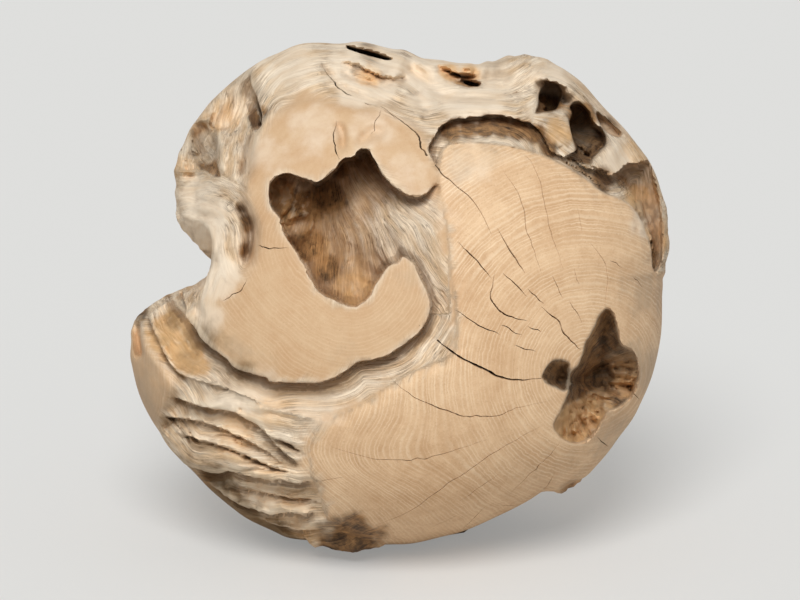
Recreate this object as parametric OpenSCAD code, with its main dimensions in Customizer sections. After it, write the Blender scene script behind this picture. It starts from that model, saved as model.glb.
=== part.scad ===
// Decorative ball carved from one mass of old root wood.
// The sanded faces lie on the ball's round outline. Valleys, holes and
// splintered wood are left as they grew and lie below it.
//
// Places are written as [x, z] in percent of the ball's radius, seen square
// on to its face: x to the right, z up. A third number is how deep the point
// lies under the skin. The whole ball then leans back on its flat seat.

/* [Ball] */
// Height of the ball's round face, before it leans back and is cut flat
ball_height = 675; // [600:5:750]
// Width of the ball across its face
ball_width = 675; // [600:5:750]
// Depth of the ball from face to back
ball_depth = 608; // [540:4:680]
// Lean of the face away from upright, in degrees
face_lean = 15; // [0:1:25]
// Height of the ball's centre above the flat seat, in percent of the radius
seat_height = 90.5; // [86:0.5:94]

/* [Natural relief] */
// Depth of the valley that winds round the hooked slab, in percent
valley_depth = 19; // [8:1:22]
// Thickness of the hooked slab where it overhangs, in percent
slab_thickness = 9; // [5:0.5:12]
// Drop of the splintered wood below the sanded faces, in percent
splinter_drop = 9; // [4:1:11]
// Depth of the two big holes, for each of their drawn depths
hole_depth = 1; // [0.7:0.05:1.2]
// Width of the drying cracks, in percent of the radius
crack_width = 0.9; // [0.6:0.1:1.6]

/* [Fineness] */
// Surface cells along each quarter turn of the ball
cells = 18; // [12:1:20]

/* [Hidden] */

unit = ball_height / 200;                // one percent of the radius, in millimetres
breadth = ball_width / ball_height;      // stretch across the face
reach = 100 * ball_depth / ball_height; // face and back poles, in percent
calm_radius = 97;                        // plain round that the outline settles to
floor_block = 2 * max(ball_width, ball_depth, ball_height);
skin_cells = cells - 4;
face_bias = 0.3;                  // gathers the net's finer cells on the face
wood = [0.86, 0.73, 0.57];

// Outline of the ball seen square on to its face: [angle, radius]
outline = [[0, 97.5], [6, 99.5], [20, 105], [30, 106], [43, 104], [54, 105], [62, 102], [71, 91.5],
           [84, 89], [93, 93], [108, 99.5], [120, 102], [133, 101.5], [146, 98.6], [156, 92], [163, 91],
           [175, 96], [188, 101], [200, 103], [211, 102], [222, 100], [238, 99], [252, 95.5], [262, 92.5],
           [274, 91], [286, 89.5], [304, 88], [312, 93.5], [326, 96], [344, 98], [360, 97.5]];

// Winding valleys: [half width, depth, points]
valleys = [
    [14, valley_depth, [[6, -14], [-5, -22], [-23, -30], [-46, -33], [-62, -26], [-74, -15], [-85, -3],
                        [-94, 7]]],
    [12, valley_depth / 2, [[10, 50], [9, 28], [9, 8], [6, -14]]],
    [20, slab_thickness * 0.6, [[-30, -14], [-50, -6], [-62, 8], [-60, 30]]],
    [19, splinter_drop, [[-44, -50], [-62, -49], [-80, -44]]],
    [15, splinter_drop, [[-36, -74], [-54, -76], [-70, -68]]],
    [14, splinter_drop, [[-32, -84], [-50, -84]]],
    [13, 19, [[96, 12], [96, 32], [89, 48]]],
    [15, 8, [[4, 84], [12, 76], [26, 75], [42, 78], [60, 77]]],
    [12, 4, [[-20, 82], [-6, 79]]],
    [20, 13, [[-62, 79], [-68, 66], [-75, 54], [-78, 41]]]
];

// Valleys round the side and back: [half width, depth, points as directions]
far_valleys = [
    [24, 25, [[-84, -46, 12], [-98, -16, 13], [-98, 16, 15], [-88, 48, 18]]],
    [22, 16, [[-88, 48, 18], [-60, 80, 22]]],
    [20, 12, [[-60, 80, 22], [-20, 95, 8], [10, 90, -24], [30, 76, -52]]],
    [18, 8, [[60, 70, 40], [74, 50, 50], [88, 20, 44]]],
    [20, 5, [[-40, 50, -78], [-66, 52, -54]]]
];

// Hooked slab with its tongue, standing over the valley
slab = [[-90, 6], [-80, -5], [-71, -16], [-63, -22], [-50, -29], [-41, -30], [-28, -30], [-21, -27],
        [-10, -22], [0, -18], [7, -13], [11, -4], [10, 2], [6, 10], [1, 15], [-5, 12], [-11, 1], [-17, -2],
        [-25, 0], [-32, 9], [-39, 20], [-43, 29], [-46, 34], [-46, 41], [-40, 45], [-31, 41], [-27, 42],
        [-21, 49], [-11, 53], [-6, 44], [0, 39], [7, 35], [12, 39], [15, 43], [11, 55], [6, 68], [-20, 78],
        [-46, 70], [-51, 60], [-54, 50], [-56, 40], [-66, 35], [-75, 31], [-72, 22], [-76, 14], [-80, 8]];

// Thin plates of splintered wood, each by its lower lip
splinters = [[[-84, -35], [-70, -39], [-58, -44], [-44, -48]],
             [[-88, -43], [-72, -46], [-56, -52], [-44, -58], [-36, -64]],
             [[-84, -56], [-70, -62], [-54, -68], [-38, -73], [-26, -72]],
             [[-64, -73], [-50, -79], [-38, -80], [-26, -83]],
             [[-54, -84], [-44, -86], [-32, -85]]];

// Drying cracks that run out from the heart of the face
cracks = [[[11, 54], [20, 41], [31, 28], [34, 18]],
          [[35, 25], [41, 14], [45, 8]],
          [[21, 20], [33, 7]],
          [[33, 8], [34, -2], [46, -8]],
          [[37, 9], [52, -2], [65, -19]],
          [[9, -10], [23, -22], [38, -28], [52, -28]],
          [[37, 46], [46, 22], [52, 8]],
          [[-6, -27], [8, -37], [27, -42], [43, -39]],
          [[-24, -53], [-4, -58], [20, -55], [40, -46]],
          [[-8, -82], [18, -68], [38, -56], [52, -45]],
          [[40, -71], [51, -60], [59, -50]],
          [[70, -25], [88, -37]],
          [[-23, 64], [-23, 54], [-20, 48]],
          [[-29, 86], [-21, 77], [-5, 71]]];

// Cracks on the back, as directions
far_cracks = [[[20, 90, 40], [34, 88, 14], [40, 86, -10]],
              [[40, 86, -10], [62, 74, -22], [80, 56, -30]],
              [[34, 88, 14], [62, 74, 18], [80, 58, 26]],
              [[-40, 82, -36], [-62, 66, -40], [-80, 48, -30]]];

// Value of a table of [angle, value] at an angle, joined by soft curves
function table_at(table, a, i = 0) =
    a > table[i + 1][0] ? table_at(table, a, i + 1) :
    let (t = (a - table[i][0]) / (table[i + 1][0] - table[i][0]))
    table[i][1] + (table[i + 1][1] - table[i][1]) * (1 - cos(180 * t)) / 2;

function turn_of(x, z) = let (a = atan2(z, x)) a < 0 ? a + 360 : a;
function unit_of(v) = v / norm(v);

// Radius of the ball's skin along a direction. Near the rim it follows the
// outline, and towards the face and back it settles to a plain round.
function skin_radius(d) =
    let (rim = sqrt(d[0] * d[0] + d[2] * d[2]))
    let (edge = table_at(outline, turn_of(d[0], d[2])))
    let (calm = calm_radius + (edge - calm_radius) * pow(rim, 3))
    1 / sqrt(rim * rim / (calm * calm) + d[1] * d[1] / (reach * reach));

// Point of the skin seen at [x, z] on the face, sunk towards the middle
function face_point(p, sink = 0) =
    let (r = norm([p[0], p[1]]))
    let (rim = table_at(outline, turn_of(p[0], p[1])))
    let (y = -reach * sqrt(max(0.0004, 1 - r * r / (rim * rim))))
    [p[0], y, p[1]] * (1 - sink / 100);

// Point of the skin in any direction, sunk towards the middle
function far_point(v, sink = 0) = unit_of(v) * (skin_radius(unit_of(v)) - sink);

// Distance from a point to a run of straight stretches
function gap_to_stretch(p, a, b) =
    let (t = max(0, min(1, (p - a) * (b - a) / ((b - a) * (b - a)))))
    norm(p - a - t * (b - a));
function gap_to_run(p, run) = min([for (i = [0:len(run) - 2]) gap_to_stretch(p, run[i], run[i + 1])]);

// Soft bowl: 1 in the middle, 0 from t = 1 outwards
function bowl(t) = t >= 1 ? 0 : (1 + cos(180 * t)) / 2;

lanes = concat([for (v = valleys) [v[0], v[1], [for (p = v[2]) face_point(p)]]],
               [for (v = far_valleys) [v[0], v[1], [for (p = v[2]) far_point(p)]]]);

function relief(p) = [for (v = lanes) v[1] * bowl(gap_to_run(p, v[2]) / v[0])];
function deepest(list) = max(list) + 0.35 * (list * [for (i = list) 1] - max(list));

// Even net over a ball, drawn on the six sides of a cube
sides = [[[1, 0, 0], [0, 1, 0], [0, 0, 1]], [[-1, 0, 0], [0, 0, 1], [0, 1, 0]],
         [[0, 1, 0], [0, 0, 1], [1, 0, 0]], [[0, -1, 0], [1, 0, 0], [0, 0, 1]],
         [[0, 0, 1], [1, 0, 0], [0, 1, 0]], [[0, 0, -1], [0, 1, 0], [1, 0, 0]]];
function rounded(v) = [round(v[0] * 1000), round(v[1] * 1000), round(v[2] * 1000)] / 1000;
function net_directions(n) = [
    for (s = sides, i = [0:n], j = [0:n])
        let (d = unit_of(s[0] + tan(90 * i / n - 45) * s[1] + tan(90 * j / n - 45) * s[2]))
        unit_of(d - [0, face_bias, 0])];

// Two triangles to each cell, parted along its shorter diagonal
function net_cells(n, points) = [
    for (s = [0:5], i = [0:n - 1], j = [0:n - 1])
        let (a = (s * (n + 1) + i) * (n + 1) + j, b = a + 1, c = a + n + 2, d = a + n + 1)
        each norm(points[a] - points[c]) < norm(points[b] - points[d]) ? [[a, c, d], [a, b, c]]
                                                                       : [[a, b, d], [b, c, d]]];

skin_points = [for (d = net_directions(skin_cells)) rounded(d * skin_radius(d))];
core_points = [for (d = net_directions(cells))
               let (r = skin_radius(d))
               rounded(d * (r - deepest(relief(d * r))))];

// Middle of the leant ball's box, from its widest points and its flat seat
function leant(p) = [p[0] * breadth, p[1] * cos(face_lean) + p[2] * sin(face_lean),
                     p[2] * cos(face_lean) - p[1] * sin(face_lean)];
leant_points = [for (p = core_points) leant(p)];
function highest(k) = max([for (p = leant_points) p[k]]);
function lowest(k) = min([for (p = leant_points) p[k]]);
middle = [highest(0) + lowest(0), highest(1) + lowest(1), highest(2) - seat_height] / 2;

// The carved mass under the slab
module core() {
    polyhedron(points = core_points, faces = net_cells(cells, core_points), convexity = 6);
}

// The plain round skin that the slab is cut from
module skin() {
    polyhedron(points = skin_points, faces = net_cells(skin_cells, skin_points), convexity = 2);
}

// Plate of the skin inside the slab's outline, as thick as its overhang
module hooked_slab() {
    intersection() {
        difference() {
            skin();
            scale(1 - slab_thickness / 100)
                skin();
        }
        translate([0, -20, 0])
            rotate([90, 0, 0])
                linear_extrude(height = 90)
                    polygon(slab);
    }
}

module blob(p, r) {
    translate(p)
        sphere(r = r, $fn = r > 10 ? 14 : 9);
}

// Rounded run through points [x, z, sink, radius] on the face
module face_run(run) {
    for (i = [0:len(run) - 2])
        hull() {
            blob(face_point(run[i], run[i][2]), run[i][3]);
            blob(face_point(run[i + 1], run[i + 1][2]), run[i + 1][3]);
        }
}

// Rounded run through points [direction, sink, radius] anywhere
module far_run(run) {
    for (i = [0:len(run) - 2])
        hull() {
            blob(far_point(run[i][0], run[i][1]), run[i][2]);
            blob(far_point(run[i + 1][0], run[i + 1][1]), run[i + 1][2]);
        }
}

// Big rotted hole behind the hook
module hook_hole() {
    face_run([[-24, 13, 12 * hole_depth, 17], [-31, 27, 16 * hole_depth, 20],
              [-40, 37, 11 * hole_depth, 12]]);
    face_run([[-24, 13, 12 * hole_depth, 17], [-16, 41, 11 * hole_depth, 16], [-5, 24, 2 * hole_depth, 12]]);
}

// Rotted hole at the lower right of the face
module heart_hole() {
    face_run([[75, -6, 1, 4], [74, -16, 4 * hole_depth, 9], [75, -29, 9 * hole_depth, 15],
              [65, -45, 3 * hole_depth, 8]]);
    face_run([[82, -25, 7, 8], [75, -37, 10, 9], [67, -46, 6, 7]]);
    face_run([[64, -28, 3, 6], [57, -28, 3, 6]]);
}

// Run cut into the skin that widens underneath its upper lip
module undercut(run, depth) {
    for (i = [0:len(run) - 2])
        hull()
            for (p = [run[i], run[i + 1]]) {
                blob(face_point(p), p[2]);
                blob(face_point([p[0], p[1] + 0.4 * depth], depth), p[2] + 1);
            }
}

// Gap under the arch, with the holes beside it
module arch_gap() {
    undercut([[13, 57, 3.5], [22, 62, 4], [36, 62, 4], [47, 57, 4], [58, 52, 3], [70, 45, 4],
              [82, 43, 5]], 7);
    undercut([[53, 71, 5.5], [56, 72, 5.5]], 15);
    undercut([[66, 67, 5], [71, 61, 7], [68, 54, 6]], 18);
    undercut([[77, 68, 1.5], [84, 63, 1.5]], 5);
}

// Slots and hollows of the upper left
module top_hollows() {
    undercut([[-17, 91, 1.3], [-8, 89, 1.8], [-3, 87, 1.2]], 8);
    undercut([[14, 84, 1.5], [27, 80, 2.2]], 6);
    undercut([[-54, 76, 1.2], [-50, 67, 2], [-46, 60, 1.4]], 8);
    face_run([[-69, 62, 1, 3], [-71, 50, 2, 7], [-65, 42, 2, 4]]);
    face_run([[-60, 38, 1, 2.5], [-55, 28, 2, 4], [-54, 18, 2, 4], [-57, 7, 1, 2.5]]);
    face_run([[-97, -4, 1, 2], [-97, -20, 1, 2]]);
}

// Hollows that grew into the back and underside
module far_hollows() {
    far_run([[[-20, 90, 44], 4, 12], [[-6, 90, 36], 12, 14], [[12, 92, 34], 6, 9]]);
    far_run([[[-78, 60, -10], 2, 9], [[-72, 66, -22], 6, 8]]);
    far_run([[[86, 46, -16], 3, 8], [[80, 56, -18], 8, 7]]);
    far_run([[[46, 12, -84], 3, 6], [[56, 24, -78], 7, 8]]);
}

// Splintered plate whose lip stands clear of the wood above it
module splinter(lip) {
    for (i = [0:len(lip) - 2])
        hull()
            for (k = [i, i + 1])
                let (p = lip[k])
                let (fade = abs(2 * k / (len(lip) - 1) - 1)) {
                    translate(face_point(p, 3 + 4 * fade))
                        sphere(r = 1.6, $fn = 6);
                    translate(face_point([p[0] + 2, p[1] + 7], 11))
                        sphere(r = 2.5, $fn = 6);
                }
}

// Dark fibrous lumps along the lower edge, and the low knuckle beside the seat
module lumps() {
    far_run([[[-30, -16, -85], 4, 6], [[-17, -17, -87], 3, 7], [[-9, -15, -87], 4.5, 6]]);
    face_run([[56, -68, 4, 4], [66, -70, 3, 4]]);
    far_run([[[18, 33, -85], 15, 20], [[4, 34, -86], 16, 20]]);
}

// Wedge-shaped crack through points of the skin
module crack(run) {
    for (i = [0:len(run) - 2])
        hull()
            for (k = [0, 1])
                let (p = run[i + k])
                let (middle = (i + k) / (len(run) - 1))
                crack_blade(p, crack_width * (0.4 + 2.4 * middle * (1 - middle)));
}

module crack_blade(p, w) {
    translate(p * 1.01)
        rotate([0, acos(-p[2] / norm(p)), atan2(-p[1], -p[0])])
            cylinder(h = 5 + 4 * w, r1 = w, r2 = 0, $fn = 4);
}

module whole_ball() {
    difference() {
        union() {
            difference() {
                core();
                hook_hole();
            }
            hooked_slab();
            lumps();
            for (s = splinters)
                splinter(s);
        }
        heart_hole();
        arch_gap();
        top_hollows();
        far_hollows();
        for (c = cracks)
            crack([for (p = c) face_point(p)]);
        for (c = far_cracks)
            crack([for (p = c) far_point(p)]);
    }
}

// Ball leant back in millimetres and cut flat where it rests
module root_ball() {
    color(wood)
        difference() {
            translate(-middle * unit)
                rotate([-face_lean, 0, 0])
                    scale([unit * breadth, unit, unit])
                        whole_ball();
            translate([-floor_block / 2, -floor_block / 2, -(seat_height + middle[2]) * unit - floor_block])
                cube(floor_block);
        }
}

root_ball();
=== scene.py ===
"""Ball carved from one mass of old root wood, on a pale studio floor.

The ball is worked as the carver works it: a round envelope, then the
valleys, hollows, lips and splintered plates that lie below it, and at last
the drying cracks, which are cut into the finished surface.

Places on the face are [x, z] in percent of the ball's radius, seen square on
to the face: x to the right, z up. Depths are in percent below the envelope.
"""

import math
import types

import bpy
import numpy as np
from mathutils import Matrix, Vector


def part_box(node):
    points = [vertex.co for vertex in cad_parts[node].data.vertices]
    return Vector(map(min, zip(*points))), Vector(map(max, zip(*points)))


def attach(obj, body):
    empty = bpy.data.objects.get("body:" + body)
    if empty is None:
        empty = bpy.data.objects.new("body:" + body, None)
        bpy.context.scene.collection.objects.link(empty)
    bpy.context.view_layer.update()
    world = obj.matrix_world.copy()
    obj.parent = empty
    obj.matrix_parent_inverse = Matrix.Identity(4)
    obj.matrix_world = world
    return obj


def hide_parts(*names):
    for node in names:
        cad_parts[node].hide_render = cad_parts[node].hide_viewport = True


bl_info = {
    "name": "Carved Root Ball",
    "version": (1, 0, 0),
    "blender": (4, 5, 0),
    "location": "View3D > Sidebar > Root Ball",
    "description": "Decorative ball carved from old root wood, with its studio stage",
    "category": "Object",
}

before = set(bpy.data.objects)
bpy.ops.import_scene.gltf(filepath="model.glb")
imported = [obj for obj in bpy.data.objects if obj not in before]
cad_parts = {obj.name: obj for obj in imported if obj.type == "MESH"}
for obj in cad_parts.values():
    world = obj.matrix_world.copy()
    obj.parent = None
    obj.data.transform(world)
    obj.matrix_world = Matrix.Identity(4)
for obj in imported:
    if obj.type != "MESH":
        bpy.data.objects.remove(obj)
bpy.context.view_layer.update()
BALL_LOW, BALL_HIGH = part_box("root_ball")

# ------------------------------------------------------------------ envelope

# Lengths are in percent of the ball's radius, unless a comment names another unit
LEAN = math.radians(15)       # the face leans back on the flat seat
SEAT = 90.5                   # height of the ball's centre above the seat
REACH = 90.0                  # face and back poles
CALM = 97.0                   # plain round that the outline settles to
BREADTH = 199.9               # width of the ball
UNIT = (BALL_HIGH.x - BALL_LOW.x) / BREADTH    # one percent of the radius, in metres
CORE = 52.0                   # the ball is whole within this radius
NET_REACH = 108.0             # half width of the net that the surface is found in
MOST_UNDERCUT = 13.0          # depth over which the wood under a lip leans
PLAINNESS = (                 # how readily faces are merged, from front to back: [y, y, weight]
    (-math.inf, -60, 0.25), (-60, -15, 0.35), (-15, 10, 0.55), (10, math.inf, 0.8))

# Outline seen square on to the face: [angle, radius]
OUTLINE = [
    [0, 97.5], [4, 98], [6, 99.5], [12, 102.5], [20, 105], [28, 106], [35, 105], [43, 104],
    [51, 105], [58, 104], [62, 102], [65, 99], [69, 94], [72, 91], [77, 89.5], [84, 89], [90, 92],
    [101, 96.5], [114, 101.3], [123, 102], [133, 101.5], [140, 100.5], [146, 98.6], [150, 96.8],
    [154, 93], [158, 90], [163, 90], [168, 92.5], [175, 96], [182, 98], [188, 101], [193, 102.5],
    [200, 103], [211, 102], [222, 100], [233, 99.5], [243, 98], [252, 95], [260, 91.5], [270, 90.5],
    [282, 89], [295, 88], [306, 88.5], [311, 93], [318, 95.5], [326, 96], [335, 97.4], [344, 98],
    [351, 98], [360, 97.5]]

# ------------------------------------------------------------ lands and shores

BEYOND = 115                  # outlines that leave the face run out to here

# Lower edge of the upper land: the hooked slab, the tongue, the arch, the rim
SLAB_EDGE = [
    [-84, 8.5], [-87, 6.2], [-86, 3.5], [-82, -2.6], [-77, -7.8], [-74, -12], [-71, -16],
    [-63, -22], [-58, -26], [-49, -28.5], [-47.5, -30], [-41, -30.3], [-35, -30.5], [-28, -30],
    [-20.7, -27], [-15.6, -23], [-9.6, -22], [-4.8, -20.4], [-0.4, -18], [7, -12.6], [9.8, -7.8],
    [11.5, -3.3], [10.6, 1.2], [7.4, 7.8], [4.4, 13], [1, 15.2]]
POCKET_LOW = [
    [-0.6, 12.8], [-3.7, 12], [-6.3, 9.3], [-8, 6], [-11.5, 0.7], [-15.6, -2.6], [-20.7, -1.5],
    [-26, 0.7], [-30, 4], [-32, 8.5], [-35, 14], [-39, 20], [-42, 24], [-42.6, 28.5], [-46, 33]]
POCKET_TOP = [
    [-46.8, 40], [-44.4, 43], [-40.7, 44.8], [-37.4, 43.7], [-32.6, 42], [-30.7, 40.7], [-28, 42],
    [-26, 43.7], [-22.6, 46.3], [-20.7, 49.3], [-16.3, 50.4], [-14.8, 52.6], [-11.5, 53]]
TONGUE = [
    [-9.6, 49.6], [-6.3, 43.7], [-3.3, 40.7], [-0.4, 38.5], [4.4, 36], [8, 36.3], [12, 39.3],
    [15.2, 42.2], [14.8, 45.2], [12, 49.6], [10.7, 53.5]]
ARCH_EDGE = [
    [11.6, 55.6], [15.6, 62], [20, 64], [24.4, 64], [33.3, 65.4], [39, 64.8], [43.3, 64],
    [48.5, 61], [52, 56.5], [54.6, 52.8], [58.5, 51], [62, 48.8], [66, 47.5], [73.7, 44.3],
    [79.6, 45.4], [83, 48], [88, 49.4], [92.6, 49.8], [93.6, 44], [95.6, 36], [96.8, 26],
    [96.6, 14], [95, 7.5]]
UPPER_LAND = (SLAB_EDGE + POCKET_LOW + POCKET_TOP + TONGUE + ARCH_EDGE +
              [[BEYOND, 7], [BEYOND, BEYOND], [-BEYOND, BEYOND], [-BEYOND, 12]])

# Upper edge of the lower land: the domed end face and the splintered side
DOME_TOP = [
    [BEYOND, 6], [95.2, 8.5], [92.2, 17.8], [88.5, 28], [83, 34.8], [73.7, 38.5], [67.8, 43],
    [58.5, 48.6], [49.3, 52.2], [40, 54.5], [30.7, 55.6], [22.6, 55.8], [15.9, 53.6]]
DOME_LEFT = [
    [14, 44.4], [16.3, 29.6], [17.8, 15.2], [20, -4], [20.4, -13.3], [18.8, -20], [10.4, -23.7],
    [-0.4, -28.9], [-11.5, -37], [-21.5, -41.5], [-28, -44]]
DOME_SIDE = [
    [-31.5, -50], [-32.6, -56.7], [-31.5, -64.4], [-28, -72.6], [-26, -79.6], [-18, -85.6],
    [-14, -BEYOND], [BEYOND, -BEYOND]]
SHORE = [
    [-37, -42], [-45, -40], [-52, -37], [-60, -33.5], [-68, -31], [-76, -29], [-82, -26],
    [-86, -20], [-91, -10], [-93, -3], [-91, 3], [-89, 11], [-BEYOND, 14]]
DOME = DOME_TOP + DOME_LEFT + DOME_SIDE
LOWER_LAND = DOME_TOP + DOME_LEFT + SHORE + [[-BEYOND, -BEYOND], [BEYOND, -BEYOND]]

# How deep the land between them lies and how steep its banks are: [x, z, depth, bank]
MOAT_DEPTHS = [
    [14, 40, 8, 1.4], [15, 20, 9, 1.4], [15, 0, 11, 1.3], [12, -17, 13, 1.1], [0, -25, 14, 1],
    [-12, -31, 15, 0.8], [-30, -36, 16, 0.8], [-45, -34, 18, 0.9], [-60, -28, 19, 1],
    [-75, -20, 19, 1], [-84, -8, 18, 1], [-91, 5, 17, 1], [-42, 37, 16, 0.4], [-40, 28, 19, 0.4],
    [-30, 37, 39, 0.5], [-31, 25, 40, 0.5], [-33, 14, 35, 0.5], [-18, 47, 33, 0.5],
    [-14, 38, 32, 0.7], [-18, 24, 37, 0.8], [-22, 8, 37, 0.6], [-13, 6, 30, 0.8], [-5, 22, 25, 1],
    [3, 30, 17, 1], [4, 14, 14, 1.1], [16, 58, 8, 0.6], [28, 60, 9, 0.5], [42, 58, 9, 0.5],
    [54, 51, 5, 0.6], [66, 45, 8, 0.6], [76, 42, 15, 0.5], [86, 44, 24, 0.4], [92, 34, 19, 0.35],
    [94, 24, 14, 0.4], [96, 13, 9, 0.45]]

# Where that floor rises to the upper land's edge instead of running in under it: [x, z, share]
MOAT_RISES = [
    [0, 0, 0], [-60, 0, 0], [50, 58, 0], [74, 44, 0], [83, 46, 0], [94, 38, 0.75], [97, 28, 0.85],
    [97, 14, 0.85]]

# Sanded part of the hooked slab and the tongue
SLAB_FACE = SLAB_EDGE[7:] + POCKET_LOW + POCKET_TOP + TONGUE + [
    [10, 55], [3, 62], [-3, 67], [-8, 70], [-18, 71.5], [-31.5, 73.5], [-38, 72], [-46, 67],
    [-50, 62], [-53, 54], [-54.5, 45], [-55, 38], [-53, 31], [-51.5, 23], [-53, 14], [-57, 8],
    [-62, 5], [-66, 0], [-68, -8], [-67, -16]]
LEFT_FACE = [
    [-BEYOND, -8], [-98, -10], [-92, -17], [-86, -25], [-82, -31], [-84, -36], [-88, -43],
    [-91, -50], [-90, -56], [-BEYOND, -60]]
PALE_CAP = [
    [14, 52], [26, 55], [46, 51], [45.6, 49.3], [36.3, 46], [28, 41.5], [22.6, 37], [18.5, 32],
    [16.5, 27], [17.4, 18.5], [18.9, 9.3], [17, 3], [12, 20]]

# Line that the fibres of the upper land follow, over the shoulder and down the rim
FLOW = [
    [-66, -24], [-60, -6], [-57, 8], [-54, 29], [-52, 45], [-51, 63], [-45, 75], [-25, 82],
    [-5, 78], [10, 72], [25, 74], [40, 74], [56, 80], [70, 72], [84, 58], [95, 40]]

# Line that the fibres curl round on the left, above the notch
SWIRL = [[-84, 38], [-76, 38], [-68, 36.4], [-61, 32], [-57, 24], [-56, 12]]

# ------------------------------------------------------------------- features

# Pits with a clear rim: [width of the sloping wall, outline, floor as [x, z, depth]]
PITS = {
    "nostril": [1.2,
                [[50.6, 73.4], [52.1, 75.7], [57.3, 76.6], [58.8, 75], [59.1, 72.4], [58.5, 69.3],
                 [56.2, 67.8], [53.1, 67], [49.5, 66.3], [48.8, 67], [50.2, 70.4]],
                [[57, 74, 26], [51, 68, 13]]],
    "cavern": [1.3,
               [[62.2, 69.9], [64.4, 71.4], [67.5, 70.6], [69.4, 68.3], [71.1, 64.7], [74.7, 61.9],
                [76.3, 58.6], [75.8, 55.4], [73.2, 52.9], [70.6, 50.3], [69.6, 48.2], [66.5, 48.3],
                [63.4, 48.8], [59.4, 49.8], [60.9, 51.9], [63.9, 53.4], [63.2, 57], [62.4, 61.1],
                [61.9, 64.2], [63.2, 67.6]],
               [[66, 67, 34], [67, 62, 26], [64, 58, 24], [72, 60, 15], [73, 56, 10], [68, 54, 14],
                [66, 50, 18], [61, 50, 12]]],
    "rim_slot": [0.8, [[72.6, 68.4], [76.1, 66.4], [82, 61.2], [80, 59], [74.6, 62.4]],
                 [[78, 64, 12]]],
    "top_slot": [1.0,
                 [[-20, 92.6], [-14.4, 91.4], [-7.8, 89.6], [-2.6, 87.4], [-5.9, 87.2],
                  [-11.5, 88.6], [-17, 90.4]], [[-12, 90, 14]]],
    "arch_slot": [1.6, [[18.6, 80.4], [24, 79.6], [29.6, 79.4], [29.6, 77], [25, 76.4], [20, 77.8]],
                  [[20, 79, 6], [28, 78, 11]]],
    "ear_hollow": [3.2,
                   [[-77.5, 64], [-73, 66], [-69, 63.5], [-67.4, 58], [-67, 51.9], [-65, 44.4],
                    [-68, 44.2], [-71.5, 46.5], [-75.6, 50.5], [-77.5, 57]], [[-72, 55, 11]]],
    "limb_hole": [1.5, [[-98, -3.6], [-95.5, -3], [-93.6, -4.4], [-94, -5.8], [-97, -6]],
                  [[-96, -5, 7]]],
    "side_bowl": [3,
                  [[61, -22.6], [57, -21.6], [53.4, -23.4], [51.2, -27.6], [53, -30.6], [57, -32.6],
                   [60.4, -33.4], [62.4, -29], [61.8, -25]], [[54, -27, 6], [60, -29, 12]]],
}
HEART_HOLE = [
    [74.6, -3.6], [72.4, -5.4], [71, -8.4], [68.6, -13.4], [66.4, -18.2], [64.8, -23],
    [62.4, -25.6], [61, -28], [61, -33.4], [59.8, -36.2], [58.4, -40], [55.6, -45.4], [57.4, -49.2],
    [60.8, -51.8], [65.4, -52.2], [69.6, -50.8], [72.4, -47], [74, -44.4], [76.6, -41],
    [81.2, -39.2], [84.8, -36], [87, -32.4], [87.6, -27], [87, -22.4], [84.8, -18.6], [81.2, -16.4],
    [79.6, -12], [78.4, -6.6], [76.6, -4]]
# Floor of that hole: [x, z, depth, steepness of the wall]
HEART_DEPTHS = [
    [74, -8, 12, 4], [70, -18, 22, 8], [67, -28, 27, 8], [64, -38, 14, 5], [60, -46, 6, 3],
    [68, -47, 5, 1.6], [75, -38, 8, 1.2], [83, -30, 12, 1.0], [82, -22, 11, 1.1],
    [78, -14, 10, 1.8]]

# Longest lip of the splintered side, whose line its fibres follow
LONG_LIP = [
    [-92, -48], [-90.4, -51], [-84.8, -56.7], [-80.4, -61], [-75, -62.6], [-67.4, -63.9],
    [-63, -62.8], [-58, -63.8], [-53.3, -64.6], [-47, -65.8], [-43.3, -65.4], [-37, -66.6],
    [-32.6, -65.8], [-24.4, -66.4]]
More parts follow.
